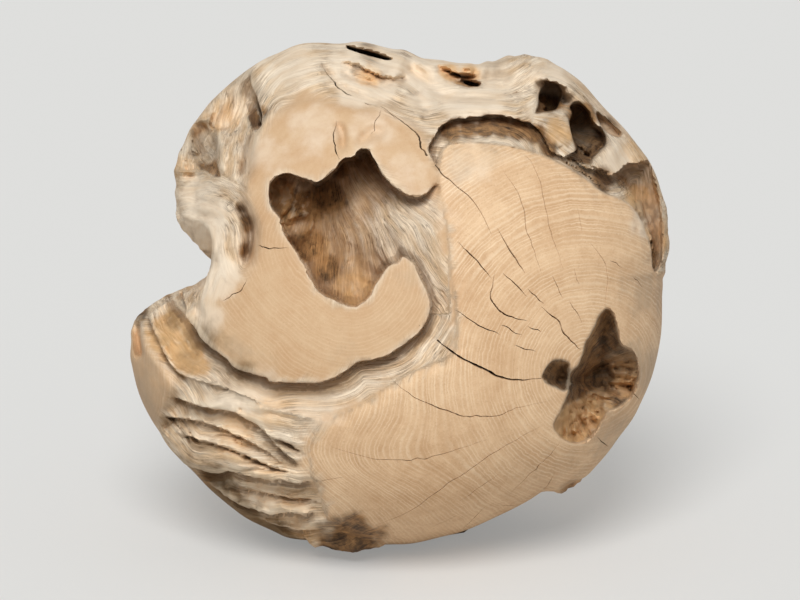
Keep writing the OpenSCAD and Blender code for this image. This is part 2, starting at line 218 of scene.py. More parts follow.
# Lips of splintered wood, from left to right: [drop, recovery, lean, run]
LIPS = [
    [6.4, 6, 1.1,
     [[-84.4, -35.4], [-77.2, -37.6], [-69.6, -39.6], [-60.8, -40.8], [-55.4, -43.6], [-51, -45.8],
      [-47.8, -49], [-43.4, -54.4], [-39, -57.8], [-34.8, -60.4]]],
    [4.6, 3, 1.0,
     [[-58, -44.6], [-52, -47.4], [-45.6, -50], [-40.4, -51.8], [-37, -53.8], [-33.4, -57]]],
    [3.8, 3, 0.9, [[-89, -41.4], [-83, -43.4], [-70, -45.4], [-58, -50], [-49, -55], [-42, -60]]],
    [3.0, 2.6, 0.8, [[-84, -48.6], [-74, -51], [-64, -53.6], [-55, -57], [-46, -61], [-38, -62.6]]],
    [10, 8, 1.5, LONG_LIP],
    [3.4, 3, 0.5, [[-62, -68], [-54, -70], [-46, -71], [-38, -72.6], [-30, -72.4]]],
    [8.0, 6, 1.4,
     [[-72, -67.4], [-65.2, -71.9], [-60.6, -74.8], [-56.5, -76.5], [-51.6, -77.6], [-47.8, -78.9],
      [-41.2, -77.8], [-35.9, -78.2], [-29.3, -76.8]]],
    [5.5, 4, 1.2,
     [[-56, -79.6], [-50, -81.7], [-45.6, -83.4], [-41.2, -83.9], [-36.6, -85], [-32.6, -84.4],
      [-27.4, -83.4]]],
    [4.5, 4, 1.0,
     [[-51, -85.2], [-46, -87.2], [-41, -88.9], [-35, -90.2], [-30, -90.7], [-23.7, -90.4]]],
    # lower lip of the nose and the sill beside it
    [2.5, 5, 0.6, [[68, 50], [73, 46.6], [79, 46]]],
    # brow over the small hole and the bridge between the holes
    [4.5, 4, 1.2, [[48.8, 78.6], [51, 79], [56, 79], [60.6, 77], [64, 73.6]]],
    # torn edge of the whorl, leaf scar on the slab, crest beside the arch's slot
    [1.6, 3, 0.6, [[-24, 84.6], [-19, 86], [-14, 84], [-8, 80.6], [-2, 79.6], [3, 81]]],
    [2.2, 2.4, 0.8,
     [[-64.6, -1], [-61.4, 0.6], [-58.6, 3.6], [-55.8, 5.6], [-55.4, 8.6], [-58, 9.6]]],
    [2.6, 4, 0.8, [[11, 86.6], [16, 84.4], [22, 82], [30, 81.4]]],
]
# The shoulder of the top stands over the ear: its high side is on the right
SHOULDER = [
    [-47, 59.5], [-50.6, 63.4], [-52.4, 67], [-53.9, 71.5], [-55.2, 76], [-55.4, 80], [-54.4, 84.5],
    [-51.5, 89]]

# Soft grooves: [depth, half width, run]
GROOVES = [
    [9, 2.4, [[-59.5, 35], [-56.5, 31], [-54, 25.5], [-54.3, 19], [-56.3, 11]]],
    [1.2, 2.0, [[-75, 42], [-70, 38.4], [-64, 37], [-59, 35]]],
    [1.0, 1.8, [[-77, 36.6], [-71, 34.4], [-65, 33.6], [-60, 31]]],
    [0.8, 1.8, [[-76, 31], [-70, 29.4], [-64, 29.6], [-59, 26]]],
    [3.0, 2.6, [[-61, 66], [-58.5, 58], [-57.5, 50], [-57, 42]]],
    [2.2, 2.0, [[-56, 66], [-55, 58], [-54.6, 50], [-55.5, 42]]],
    [5, 1.6, [[-97.5, -8], [-97, -15], [-95.4, -22.6]]],
    [1.8, 1.4, [[-29, 86], [-25, 81], [-21, 77], [-14, 73], [-10, 71], [-5, 71]]],
    [1.4, 1.6, [[-28, 79], [-22, 74], [-13, 70.6], [-4, 70.4], [4, 73], [9, 77]]],
    [1.6, 1.8, [[-22, 83], [-16, 79], [-8, 76.6], [-1, 78], [3, 82]]],
    [1.4, 2.0, [[-46, 67], [-38, 72.2], [-31.5, 73], [-18, 70.4], [-8, 67.8]]],
    [2.8, 3.0, [[0, 86], [8, 80], [14, 72], [17, 66]]],
    [2.2, 2.4, [[-1, 82], [5, 76], [9, 69], [11, 62]]],
    [3.2, 4.5, [[30, 84], [36, 78], [42, 74], [46, 69]]],
    [2.0, 2.6, [[12, 77], [20, 72.5], [30, 72], [38, 71]]],
    [1.8, 2.4, [[60, 84], [68, 77], [76, 68], [84, 58]]],
    [2.0, 2.4, [[64, 88], [73, 79], [81, 70], [89, 59]]],
    [2.6, 1.6, [[-21, 52], [-20.5, 58], [-23, 64]]],
    [2.6, 2.2, [[-16, 53.5], [-13, 57], [-9, 60], [-4, 58]]],
    [2.4, 1.2, [[-77, 12], [-72, 17], [-69, 16]]],
    [2.0, 2.0, [[-86, 5], [-80, 3], [-74, -3], [-70, -9]]],
    [1.4, 1.6, [[-86, 36], [-78, 26], [-74, 18]]],
]

# Soft ridges that stand above their surroundings: [height, half width, run]
RIDGES = [
    [3.4, 2.0, [[-66.6, 63], [-65.6, 56], [-64.8, 50], [-64.4, 44]]],
    [2.0, 1.6, [[-60, 64], [-59.6, 56], [-60, 47], [-61, 41]]],
    [2.4, 6, [[-72, 27], [-69, 18], [-67, 8], [-67, -6], [-69, -15]]],
    [1.0, 1.8, [[-76, 39.6], [-70, 36.6], [-62, 35.6]]],
    [0.8, 1.8, [[-76, 33.6], [-68, 31.6], [-61, 28.6]]],
    [4.4, 3.6, [[49, 65], [54, 64], [59, 65], [61.6, 68.4]]],
    [4.6, 4.6, [[50, 63], [56, 60], [61, 57], [62, 54]]],
    [2.5, 1.8, [[60, 75.4], [64, 73.6]]],
    [2.6, 2.6, [[47, 80], [54, 80.4], [60, 77.6], [65, 73.6]]],
    [3.0, 4, [[73.5, 59], [78, 53.4], [82, 48.6]]],
    [1.8, 2.0, [[-65, 0], [-61, 4.6], [-57, 6.4]]],
    [2.5, 3, [[4, 88.6], [10, 88], [20, 87.6], [30, 86]]],
    [2.4, 3, [[12, 62], [20, 67.4], [30, 69], [40, 68], [47, 64]]],
    [2.0, 2, [[-18, 86], [-10, 83.6], [-3, 83]]],
]

# Broad soft dips of the grown surface, or bulges below zero: [depth, radius, x, z]
DIPS = [
    [6.5, 20, -70, 54], [4, 14, -60, 72], [2.5, 14, -84, 44], [3, 14, 22, 78], [3, 12, 40, 76],
    [2.0, 12, -12, 76], [4.5, 7, 55, 77], [4, 12, 88, 58], [1.5, 16, -50, 82], [2.5, 10, 72, 64],
    [1.2, 10, -12, 62], [-2.0, 10, -36, 84], [2.4, 6, -71, 15], [7, 2.4, 60.6, 72.4],
    [3, 5, 51, 59]]

# Rounded swellings of the splintered side: [height, radius, x, z]
PILLOWS = [
    [5.0, 7, -38, -38.5], [3.0, 6, -47, -37.5], [2.5, 8, -62, -58], [2.0, 7, -45, -72],
    [3.0, 5, -32, -81]]

# Valleys on the side and back: [half width, depth, points as directions]
FAR_VALLEYS = [
    [24, 25, [[-84, -46, 12], [-98, -16, 13], [-98, 16, 15], [-88, 48, 18]]],
    [22, 16, [[-88, 48, 18], [-60, 80, 22]]],
    [20, 12, [[-60, 80, 22], [-20, 95, 8], [10, 90, -24], [30, 76, -52]]],
    [18, 8, [[60, 70, 40], [74, 50, 50], [88, 20, 44]]],
    [20, 5, [[-40, 50, -78], [-66, 52, -54]]],
]

# Hollows that grew into the back and underside: runs of [direction, sink, radius]
FAR_HOLLOWS = [
    [[[-20, 90, 44], 4, 12], [[-6, 90, 36], 12, 14], [[12, 92, 34], 6, 9]],
    [[[-78, 60, -10], 2, 9], [[-72, 66, -22], 6, 8]],
    [[[86, 46, -16], 3, 8], [[80, 56, -18], 8, 7]],
    [[[46, 12, -84], 3, 6], [[56, 24, -78], 7, 8]],
]

# Fibrous lumps on the lower edge and the low knuckle beside the seat
LUMPS = [
    [[[-30, -16, -85], 4, 6], [[-17, -17, -87], 3, 7], [[-9, -15, -87], 4.5, 6]],
    [[[60, -10, -69], 3, 4], [[69, -8, -69.5], 2.2, 3.2]],
    [[[18, 33, -85], 15, 20], [[4, 34, -86], 16, 20]],
]

# Drying cracks of the face: [width, run], width in millimetres
CRACKS = [
    [3.4,
     [[-8, 71], [-3, 66], [3, 62], [7, 57.5], [8, 54], [12, 50], [15, 45], [27, 34], [33, 22.5]]],
    [2.6, [[35, 25], [41, 15], [45, 9]]],
    [2.2, [[21, 20], [27, 14], [33, 7]]],
    [2.6, [[34, 9], [33, -1], [39, -6], [46, -8]]],
    [2.0, [[37, 9], [46, 0.5]]],
    [2.0, [[46, 3.4], [52, -2]]],
    [2.8, [[51, -3], [57, -8], [61.5, -15], [65.6, -18.4]]],
    [2.0, [[20, -4], [29, -10], [36, -13]]],
    [1.6, [[36, -9.5], [44, -13]]],
    [1.6, [[46, -10], [51, -12]]],
    [1.6, [[41, -16.6], [49, -19]]],
    [4.0, [[7, -9.5], [16, -17], [27, -24], [36, -28], [45, -29.2], [52, -28.4]]],
    [2.4,
     [[-6, -27], [2, -33], [9, -37], [16, -40], [24, -42], [30, -42], [38, -41], [43, -39],
      [53, -37]]],
    [1.6, [[37, 46], [43, 37], [46, 25], [48, 18], [51, 9]]],
    [1.5, [[43, 53], [48, 49], [52, 36], [54, 25], [57, 17], [59, 10]]],
    [1.5, [[55, 8], [59, 0]]],
    [1.5, [[61, 0], [66, -9]]],
    [1.3, [[64, 33], [66, 23]]],
    [1.3, [[63, 11], [65, 5]]],
    [1.9, [[69, 20], [75, 11.5], [75, 2], [73.8, -3.6]]],
    [1.3, [[76, 14], [81, 11]]],
    [1.3, [[85, 8], [89, 4]]],
    [4.0, [[64.8, -23.2], [70, -27.5], [75, -31]]],
    [4.0, [[72, -24], [78, -28], [83, -31.5], [88.5, -37]]],
    [2.2, [[-25, -53], [-11, -57], [1, -58], [10, -57], [21, -54], [33, -50]]],
    [2.2, [[-11, -83], [3, -77], [13, -70], [23, -63], [33, -56], [43, -50], [53, -45]]],
    [1.4, [[22, -73], [36, -63]]],
    [1.4, [[22, -85], [33, -74]]],
    [2.2, [[39, -72], [46, -65], [51, -60], [56, -55], [59, -50.5]]],
    [1.4, [[53, -70], [57, -63]]],
    [2.0, [[82, -48], [79, -56], [75, -65], [69, -69]]],
    [1.4, [[72, -50], [77, -54]]],
    [1.3, [[36, -75], [43, -76]]],
    [1.3, [[10, -84], [22, -78]]],
    [1.3, [[-31, -66], [-20, -64]]],
    [2.0, [[-51.5, 19.4], [-48, 18], [-40, 18]]],
    [2.2, [[-23, 64], [-24, 58], [-23, 52], [-21, 48.5]]],
    [1.4, [[-6.5, 68], [-9, 63], [-11, 60]]],
    [1.4, [[-6, 68], [0, 64]]],
    [3.0, [[-29, 86], [-25, 81], [-21, 77], [-14, 73], [-9.5, 71]]],
    [1.8, [[-64, -1], [-61.5, 0.4], [-57, 3.4], [-55, 7]]],
    [1.6, [[-89, 5], [-84, 3.5]]],
]

# Cracks on the back: [width, run of directions], width in millimetres
FAR_CRACKS = [
    [3.0, [[20, 90, 40], [34, 88, 14], [40, 86, -10]]],
    [2.6, [[40, 86, -10], [62, 74, -22], [80, 56, -30]]],
    [2.2, [[34, 88, 14], [62, 74, 18], [80, 58, 26]]],
    [2.6, [[-40, 82, -36], [-62, 66, -40], [-80, 48, -30]]],
]

# Section of a crack's wedge: (half widths aside, height over the surface, share of the depth)
WEDGE = ((-1, 1.4, 0), (1, 1.4, 0), (0.55, 0, 0.25), (0, 0, 1), (-0.55, 0, 0.25))

# Spots of the low ground where the wood crumbles: [strength, radius, x, z]
ROT_SPOTS = [[1.0, 10.954, -41, 32], [0.8, 12.247, 92, 28]]

# Stains: [x, z, radius, strength]. Some are painted shade and some painted light, as marked below.
STAINS = {
    "bark": [[-42, 36, 8, 1.0], [-34, 33, 9, 1.0], [-26, 36, 8, 0.9], [-34, 20, 9, 1.0],
             [-27, 10, 7, 0.9], [-22, 47, 5, 0.8], [56, 72, 6, 1], [66, 66, 7, 1.0],
             [70, 57, 7, 0.7], [54, 55, 5, 0.9], [49, 59, 5, 0.9], [43, 61, 5, 1.0],
             [37, 62, 5, 1.0], [31, 62, 5, 1.0], [25, 61, 5, 1.0], [19, 60, 5, 0.9],
             [82, 43, 4, 0.6], [89, 46, 3, 0.4], [74, 43, 6, 0.8], [73, -10, 5, 0.3],
             [67, -21, 7, 0.5], [63, -33, 5, 0.7], [55, -27, 6, 1.0], [58, -44, 4, 0.7],
             [-71, 50, 5, 0.9], [-52, 66, 5, 0.9], [-55, 27, 4.5, 0.9], [-55.4, 17, 4, 0.8],
             [-16, 83, 3, 0.5], [-7, 80, 3, 0.5], [24, 80, 4, 0.6], [-18, -90, 14, 1.0],
             # The bark patch at [-75, -68] stands partly for shade on the underside: painted shade.
             [-75, -68, 9, 0.7], [-36, -88, 5, 0.6], [-11, 90, 5, 0.7], [65, -71, 7, 0.9],
             [-96, -5, 4, 0.8], [-63, -31, 9, 0.3], [-58, 79, 5, 0.4], [80, 66, 4, 0.8]],
    "grey": [[22, 48, 8, 0.4], [32, 51, 7, 0.3], [36, 84, 8, 0.6], [62, 73, 3, 0.8],
             [-72, 56, 8, 1.0], [-58, 80, 8, 0.7], [-70, 14, 6, 0.6], [-95, -40, 16, 0.55],
             [-92, -25, 10, 0.4], [90, -24, 12, 0.6], [90, 2, 12, 0.5], [80, -50, 14, 0.5],
             [79, -24, 8, 0.5], [91, 32, 6, 0.7], [-62, -26, 8, 0.5], [-30, -35, 10, 0.2],
             [2, 8, 8, 0.2], [60, -66, 14, 0.3], [-60, -20, 9, 0.4], [-48, -24, 8, 0.3],
             [-20, -20, 9, 0.25]],
    "yellow": [[-84, -14, 12, 1.0], [-76, -22, 9, 0.9], [-90, 4, 6, 0.8], [64, -47, 9, 1.0],
               [73, -42, 9, 1.0], [84, -30, 8, 0.9], [66, -41, 6, 1.0], [90, 36, 8, 0.8],
               [95, 24, 8, 0.6], [92, 16, 7, 0.5], [-44, 38, 6, 0.7], [-43, 28, 6, 0.8],
               [-16, 4, 12, 0.6], [-76, 66, 10, 0.5], [-66, 66, 8, 0.5], [-80, 48, 7, 0.5],
               [86, 54, 8, 0.4], [59, 60, 7, 0.7], [-30, 24, 18, 0.35], [-46, -40, 10, 0.4],
               [-60, -50, 12, 0.5], [-50, -68, 12, 0.4], [-40, -78, 10, 0.4], [-36, -88, 8, 0.6],
               [-11, 80, 5, 0.7], [18, 82, 5, 0.8], [26, 82, 5, 0.7]],
    # Painted light: the first three pale patches, on the lower plates of the splintered side, and
    # the one at [92, 28] in the scoop of the rim lift wood that lies in shade.
    "pale": [[-50, -73, 9, 0.7], [-38, -80, 8, 0.7], [-60, -56, 9, 0.4], [-12, 82, 16, 1.0],
             [12, 80, 14, 1.0], [30, 80, 14, 0.9], [26, 68, 14, 0.9], [-40, 84, 14, 0.6],
             [-72, 26, 12, 1.0], [-66, 8, 10, 1.0], [-70, -8, 9, 0.9], [-30, 60, 13, 0.5],
             [-10, 60, 12, 0.5], [3, 46, 9, 0.4], [92, 28, 9, 0.8], [26, 47, 12, 0.4],
             [14, 30, 9, 0.3], [18, 14, 7, 0.2], [56, 82, 12, 0.6], [49, 68, 5, 0.6],
             [6, 40, 10, 0.3], [6, 26, 12, 0.3], [-52, -38, 14, 0.6], [-30, -38, 12, 0.5],
             [-48, 52, 10, 0.5], [-76, 38, 10, 0.6], [-60, -40, 12, 0.7], [80, 50, 8, 0.8]],
    # The olive patches are an olive tone and painted shade together, darkest on the underside.
    "olive_and_painted_shade": [[-70, -72, 12, 1.0], [-58, -80, 9, 1.0], [-46, -88, 8, 1.0], [-82, -62, 7, 0.7],
              [-70, -14, 10, 0.6], [-56, -26, 6, 0.5], [-82, -6, 6, 0.5], [-76, -24, 8, 0.5],
              [66, 50, 8, 0.4], [-70, -64, 6, 0.9]],
}

# ------------------------------------------------------------------- the chart

SPAN = 112.0                  # half width of the square chart of the face
GRID = 0.4                    # spacing of its places
PLACES = np.linspace(-SPAN, SPAN, int(round(2 * SPAN / GRID)) + 1, dtype=np.float32)
ACROSS, UP = np.meshgrid(PLACES, PLACES)
FAR_AWAY = 999.0
LATTICE_BITS = 5              # the random lattice has 2 ** 5 values each way
LATTICES = {}


def smooth(low, high, value):
    """Soft step from 0 at low to 1 at high."""
    t = np.clip((value - low) / (high - low), 0.0, 1.0)
    return t * t * (3.0 - 2.0 * t)


def rounded_run(run, closed=False, steps=4):
    """The run drawn as a curve through its points."""
    points = np.asarray(run, dtype=np.float64)
    count = len(points)
    if closed:
        points = np.concatenate([points[-1:], points, points[:2]])
    else:
        points = np.concatenate([points[:1], points, points[-1:]])
    curve = []
    for i in range(count if closed else count - 1):
        a, b, c, d = points[i:i + 4]
        for s in range(steps):
            t = s / steps
            curve.append(0.5 * (2 * b + (c - a) * t + (2 * a - 5 * b + 4 * c - d) * t * t +
                                (3 * b - a - 3 * c + d) * t ** 3))
    if not closed:
        curve.append(points[-1])
    return np.array(curve)


def run_field(run, closed=False, reach=None):
    """Distance to a run over the chart, negative inside a closed one, with
    the length along it, the side (positive on the right) and the whole length."""
    points = np.asarray(run, dtype=np.float64)
    if closed:
        points = np.vstack([points, points[:1]])
    rows = cols = slice(0, len(PLACES))
    if reach is not None:
        low = np.searchsorted(PLACES, points.min(axis=0) - reach)
        high = np.searchsorted(PLACES, points.max(axis=0) + reach)
        cols, rows = slice(low[0], high[0]), slice(low[1], high[1])
    x, z = ACROSS[rows, cols], UP[rows, cols]
    best = np.full(x.shape, FAR_AWAY ** 2, dtype=np.float32)
    along = np.zeros_like(best)
    side = np.ones_like(best)
    inside = np.zeros(x.shape, dtype=bool)
    length = 0.0
    for (ax, az), (bx, bz) in zip(points[:-1], points[1:]):
        dx, dz = bx - ax, bz - az
        square = dx * dx + dz * dz
        if square < 1e-9:
            continue
        t = np.clip(((x - ax) * dx + (z - az) * dz) / square, 0, 1)
        gap = (x - ax - t * dx) ** 2 + (z - az - t * dz) ** 2
        near = gap < best
        best[near] = gap[near]
        along[near] = length + t[near] * math.sqrt(square)
        side[near] = np.sign((x - ax) * dz - (z - az) * dx)[near]
        if closed and dz != 0:
            inside ^= ((az > z) != (bz > z)) & (x < dx * (z - az) / dz + ax)
        length += math.sqrt(square)
    gap = np.sqrt(best)
    if closed:
        gap = np.where(inside, -gap, gap)
    if reach is not None:
        whole = [np.full(ACROSS.shape, fill, dtype=np.float32) for fill in (FAR_AWAY, 0.0, 1.0)]
        for target, part in zip(whole, (gap, along, side)):
            target[rows, cols] = part
        gap, along, side = whole
    return gap, along, side, length


def noise(x, y, z, seed):
    """Smooth random values from 0 to 1 with one bump to each unit."""
    size = 1 << LATTICE_BITS
    if seed not in LATTICES:
        LATTICES[seed] = np.random.default_rng(seed).random(size ** 3, dtype=np.float32)
    table = LATTICES[seed]
    corner, part = [], []
    for v in (x, y, z):
        whole = np.floor(v)
        f = (v - whole).astype(np.float32)
        corner.append(whole.astype(np.int32))
        part.append(f * f * (3 - 2 * f))
    total = 0.0
    for i in (0, 1):
        wi = part[0] if i else 1 - part[0]
        row = ((corner[0] + i) & (size - 1)) << (2 * LATTICE_BITS)
        for j in (0, 1):
            wj = wi * (part[1] if j else 1 - part[1])
            cell = row + (((corner[1] + j) & (size - 1)) << LATTICE_BITS)
            for k in (0, 1):
                w = wj * (part[2] if k else 1 - part[2])
                total = total + w * table[cell + ((corner[2] + k) & (size - 1))]
    return total


def rough(x, y, z, seed, octaves=3):
    """Noise of several sizes, about -1 to 1."""
    total, size, weight = 0.0, 1.0, 1.0
    reach = 0.0
    for i in range(octaves):
        total = total + weight * (noise(x * size, y * size, z * size, seed + i) * 2 - 1)
        reach += weight
        size *= 2.07
        weight *= 0.5
    return total / reach


def face_rough(bump, seed, octaves=3):
    """Roughness over the chart whose largest bumps have a given size."""
    return rough(ACROSS / bump, UP / bump, 0 * UP, seed, octaves)


def fibres(across, x, y, z, width, length, seed):
    """Rounded strands between narrow grooves, 0 to 1, that lie along lines of equal across."""
    bend = across + 0.9 * width * rough(x / length * 2, y / length * 2, z / length * 2, seed + 7, 2)
    fine = noise(bend / width, (x + y) / length, z / length, seed)
    finer = noise(bend / width * 1.9, x / length * 1.6, (z + y) / length * 1.6, seed + 1)
    return 0.6 * np.abs(2 * fine - 1) ** 0.7 + 0.4 * np.abs(2 * finer - 1) ** 0.7


def read(chart, x, z):
    """Values of a chart at any places."""
    n = len(PLACES)
    col = np.clip((x + SPAN) / GRID, 0, n - 1.01)
    row = np.clip((z + SPAN) / GRID, 0, n - 1.01)
    ci, ri = col.astype(np.int32), row.astype(np.int32)
    fc, fr = col - ci, row - ri
    flat = chart.ravel()
    k = ri * n + ci
    low = flat[k] * (1 - fc) + flat[k + 1] * fc
    high = flat[k + n] * (1 - fc) + flat[k + n + 1] * fc
    return low * (1 - fr) + high * fr


def mound(x, z, radius):
    """Soft round bump of height 1 on the chart."""
    return np.exp(-((ACROSS - x) ** 2 + (UP - z) ** 2) / radius ** 2)


def blend_places(places, radius, column=2):
    """Chart that passes softly between the values that a column gives at [x, z, ...] places."""
    total = np.zeros_like(ACROSS)
    weights = np.full_like(ACROSS, 1e-9)
    for place in places:
        w = mound(place[0], place[1], radius)
        total += w * place[column]
        weights += w
    return total / weights


def bump_chart(places):
    """Sum of soft round bumps given as [height, radius, x, z]."""
    total = np.zeros_like(ACROSS)
    for height, radius, x, z in places:
        total += height * mound(x, z, radius)
    return total


def blurred(chart, radius):
    """Chart with its small forms smoothed away."""
    half = max(1, int(radius / GRID))
    window = 2 * half + 1
    for axis in (0, 1):
        n = chart.shape[axis]
        for _ in range(2):
            first = np.repeat(chart.take([0], axis), half + 1, axis)
            last = np.repeat(chart.take([-1], axis), half, axis)
            run = np.cumsum(np.concatenate([first, chart, last], axis), axis=axis, dtype=np.float64)
            chart = (run.take(range(window, n + window), axis) - run.take(range(n), axis)) / window
    return chart.astype(np.float32)


def stain_chart(patches):
    """Soft patches with ragged edges, 0 to 1."""
    total = np.zeros_like(ACROSS)
    ragged = 0.35 * face_rough(5, seed=51)
    for x, z, radius, strength in patches:
        gap = np.hypot(ACROSS - x, UP - z) / radius
        total = np.maximum(total, strength * smooth(1.25, 0.35, gap + ragged))
    return total


def sign_gap(run, reach=None):
    """Distance to a closed outline, rounded through its points, negative inside it."""
    return run_field(rounded_run(run, closed=True, steps=3), closed=True, reach=reach)[0]


def line_chart(lines):
    """Sum of soft lines given as [height, half width, run]."""
    total = np.zeros_like(ACROSS)
    for height, half, run in lines:
        gap, along, _, length = run_field(rounded_run(run), reach=3 * half)
        ends = smooth(-0.5, 2 * half, np.minimum(along, length - along))
        total += height * np.exp(-(gap / half) ** 2) * ends
    return total


def leaning(chart, near):
    """Lean of the wood down the slope of a chart, in x and z, where it is near."""
    slope_z, slope_x = np.gradient(chart, GRID)
    return np.stack([0.5 * near * np.clip(slope, -1, 1) for slope in (slope_x, slope_z)])


# ------------------------------------------------------------ face of the ball

def lip_charts(lips, ragged):
    """Steps of lips that overlap like shingles, with the lean of the wood under them."""
    steps = np.zeros_like(ACROSS)
    lean = np.zeros((2,) + ACROSS.shape, dtype=np.float32)
    for drop, recovery, strength, run in lips:
        gap, along, side, length = run_field(rounded_run(run), reach=5 * recovery)
        past = side * gap + ragged
        ends = smooth(0, 7, np.minimum(along, length - along))
        ends = ends * smooth(5 * recovery, 2 * recovery, gap)
        edge = smooth(-0.15, 0.25, past)
        under = np.maximum(past, 0) / recovery
        fall = edge * (0.5 * np.exp(-under) + 0.6 * np.exp(-3 * under))
        fall -= 0.42 * (1 - edge) * np.exp(np.minimum(past, 0) / recovery)
        steps += 1.2 * drop * ends * fall
        lean += leaning(side * gap, strength * np.exp(-(gap / 4.0) ** 2) * ends)
    return steps, lean


def shoulder_chart():
    """Low ground of the ear beside the overhanging shoulder of the top."""
    gap, along, side, length = run_field(rounded_run(SHOULDER), reach=24)
    left = -side * gap
    ends = smooth(-2, 9, np.minimum(along, length - along))
    deep = 8.0 * smooth(-0.4, 0.8, left) * np.exp(-np.maximum(left, 0) / 9)
    slit = 13.0 * smooth(-0.3, 0.3, left) * smooth(4.4, 1.8, left) * smooth(26, 12, along)
    return ends * deep + slit, left, ends


def fan_lines(x, z, scale):
    """Chart of lines that spread from a place on the face."""
    return scale * np.arctan2(UP - z, ACROSS - x)


def flow_lines(gaps, pits):
    """Chart whose lines of equal value the fibres follow."""
    bend = 3.0 * face_rough(18, seed=41, octaves=2)
    lines = run_field(rounded_run(FLOW))[0]
    swirl = run_field(rounded_run(SWIRL), reach=12)[0]
    lines = np.where((swirl < 9) & (gaps.lower > 0), swirl, lines)
    lines = np.where(gaps.moat, np.maximum(gaps.upper, 0) * 0.9, lines)
    pocket = gaps.moat & (UP > -6) & (ACROSS < 18) & (ACROSS > -50)
    lines = np.where(pocket, 42 * np.arctan2(ACROSS + 26, 66 - UP), lines)
    side = run_field(rounded_run(LONG_LIP))[0]
    lines = np.where((gaps.lower < 0) & (gaps.dome > 0), side, lines)
    nose = (ACROSS > 48) & (ACROSS < 65) & (UP > 50) & (UP < 69)
    lines = np.where(nose, fan_lines(45, 66, 20), lines)
    in_pits = np.where(UP > 0, fan_lines(60, 62, 30), fan_lines(60, -30, 34))
    in_pits = np.where(ACROSS > 40, in_pits, 0.8 * ACROSS + 0.5 * UP)
    return np.where(pits > 0.3, in_pits, lines) + bend


def ring_phase(gaps):
    """Chart of the growth rings: round the pith of the dome, and round the slab's pocket."""
    wobble = 1.5 * face_rough(30, seed=81, octaves=2) + 0.45 * face_rough(8, seed=84, octaves=2)
    pith = np.hypot(ACROSS - 70, UP + 26)
    lobe = 12 * np.exp(-((UP + 57) / 13) ** 2) * smooth(35, -15, ACROSS)
    hook = run_field([[-20, 36], [-30, 20], [-17, 9]])[0] * 0.95
    return np.where((gaps.slab < 1) & (gaps.lower > 0), hook, pith - lobe) + wobble


def heart_chart(ragged):
    """Depth of the hole at the lower right, with its wall, and how far it reaches."""
    gap = sign_gap(HEART_HOLE, 12) + 0.5 * ragged
    floor = np.maximum(blend_places(HEART_DEPTHS, 9), 0.1)
    steep = blend_places(HEART_DEPTHS, 9, 3)
    inward = np.maximum(-gap, 0)
    wall = 2.2 * smooth(0.2, -0.5, gap) + floor * (1 - np.exp(-inward * steep / floor))
    return wall * (gap < 0.2), gap


def pit_charts(ragged):
    """Depth of the pits with their own rims, and where they are."""
    depth, pits = np.zeros_like(ACROSS), np.zeros_like(ACROSS)
    knots = face_rough(7, seed=13)
    for wall, run, floor_places in PITS.values():
        gap = sign_gap(run, 6) + 0.4 * ragged
        bottom = blend_places(floor_places, 5) * (0.9 + 0.3 * ragged + 0.5 * knots)
        depth = np.maximum(depth, bottom * smooth(0.3, -wall, gap))
        pits = np.maximum(pits, smooth(0.2, -0.8, gap))
    heart, gap = heart_chart(ragged)
    return np.maximum(depth, heart), np.maximum(pits, smooth(0.2, -0.8, gap))


def face_gaps(ragged, fringe):
    """Distances to the outlines of the face, negative inside them, and where the moat is."""
    gaps = types.SimpleNamespace(
        upper=sign_gap(UPPER_LAND), lower=sign_gap(LOWER_LAND), dome=sign_gap(DOME),
        slab=sign_gap(SLAB_FACE), left=sign_gap(LEFT_FACE, 30))
    gaps.edge = gaps.upper + (0.6 * ragged + 0.25 * fringe) * smooth(99, 90, ACROSS)
    gaps.moat = (gaps.edge > 0) & (gaps.lower > 0)
    gaps.rim = np.hypot(ACROSS, UP) / outline_radius(ACROSS, UP)
    return gaps


def land_charts(gaps, fringe):
    """Depth of the grown upper land and the splintered side, and the lean under their lips."""
    # the grown surface rises to the round outline at the rim
    grown = smooth(-0.5, 3.5, gaps.slab) * (gaps.lower > 0)
    grown = grown * (0.15 + 0.85 * smooth(1.0, 0.88, gaps.rim))
    ear_ground, ear_side, ear_ends = shoulder_chart()
    land = grown * (0.9 + 0.7 * face_rough(16, seed=21) + bump_chart(DIPS) + ear_ground)
    land += line_chart(GROOVES) - line_chart(RIDGES)

    # the splintered side is lower than the dome, with a soft shoulder
    splinter = smooth(-5, 7, gaps.dome + 2.0 * fringe) * (gaps.lower < 0)
    splinter = splinter * smooth(-2.5, 3.5, gaps.left)
    splinter *= 0.25 + 0.75 * smooth(1.0, 0.91, gaps.rim)
    land += splinter * (3.4 + 1.2 * face_rough(9, seed=22))
    lips, lean = lip_charts(LIPS, 0.45 * fringe)
    land += np.where(gaps.lower < 0, splinter, grown) * lips - bump_chart(PILLOWS)

    ledge = np.exp(-(ear_side / 3.0) ** 2) * ear_ends * grown
    lean += leaning(blurred(ear_side * (np.abs(ear_side) < 20), 0.8), ledge)
    return np.maximum(land, 0), lean, grown, splinter


def moat_chart(gaps):
    """Depth of the low ground between the lands, with steeper banks under the slab."""
    floor = blend_places(MOAT_DEPTHS, 9)
    bank = blend_places(MOAT_DEPTHS, 9, 3)
    rise = blend_places(MOAT_RISES, 9)
    out, far = np.maximum(gaps.lower, 0), np.maximum(gaps.edge, 0.02)
    share = out / (out + far)
    trough = smooth(24, 18, floor)
    ground = floor * share ** bank * (1 - 0.3 * trough * smooth(2, 9, far))
    ground = ground * (1 - rise * share ** 2)
    ridged = 1.1 * face_rough(7, seed=23) + 0.2 * floor * smooth(5, 1, far) * trough
    return np.maximum(ground + smooth(0, 4, gaps.lower) * ridged, 0.2)


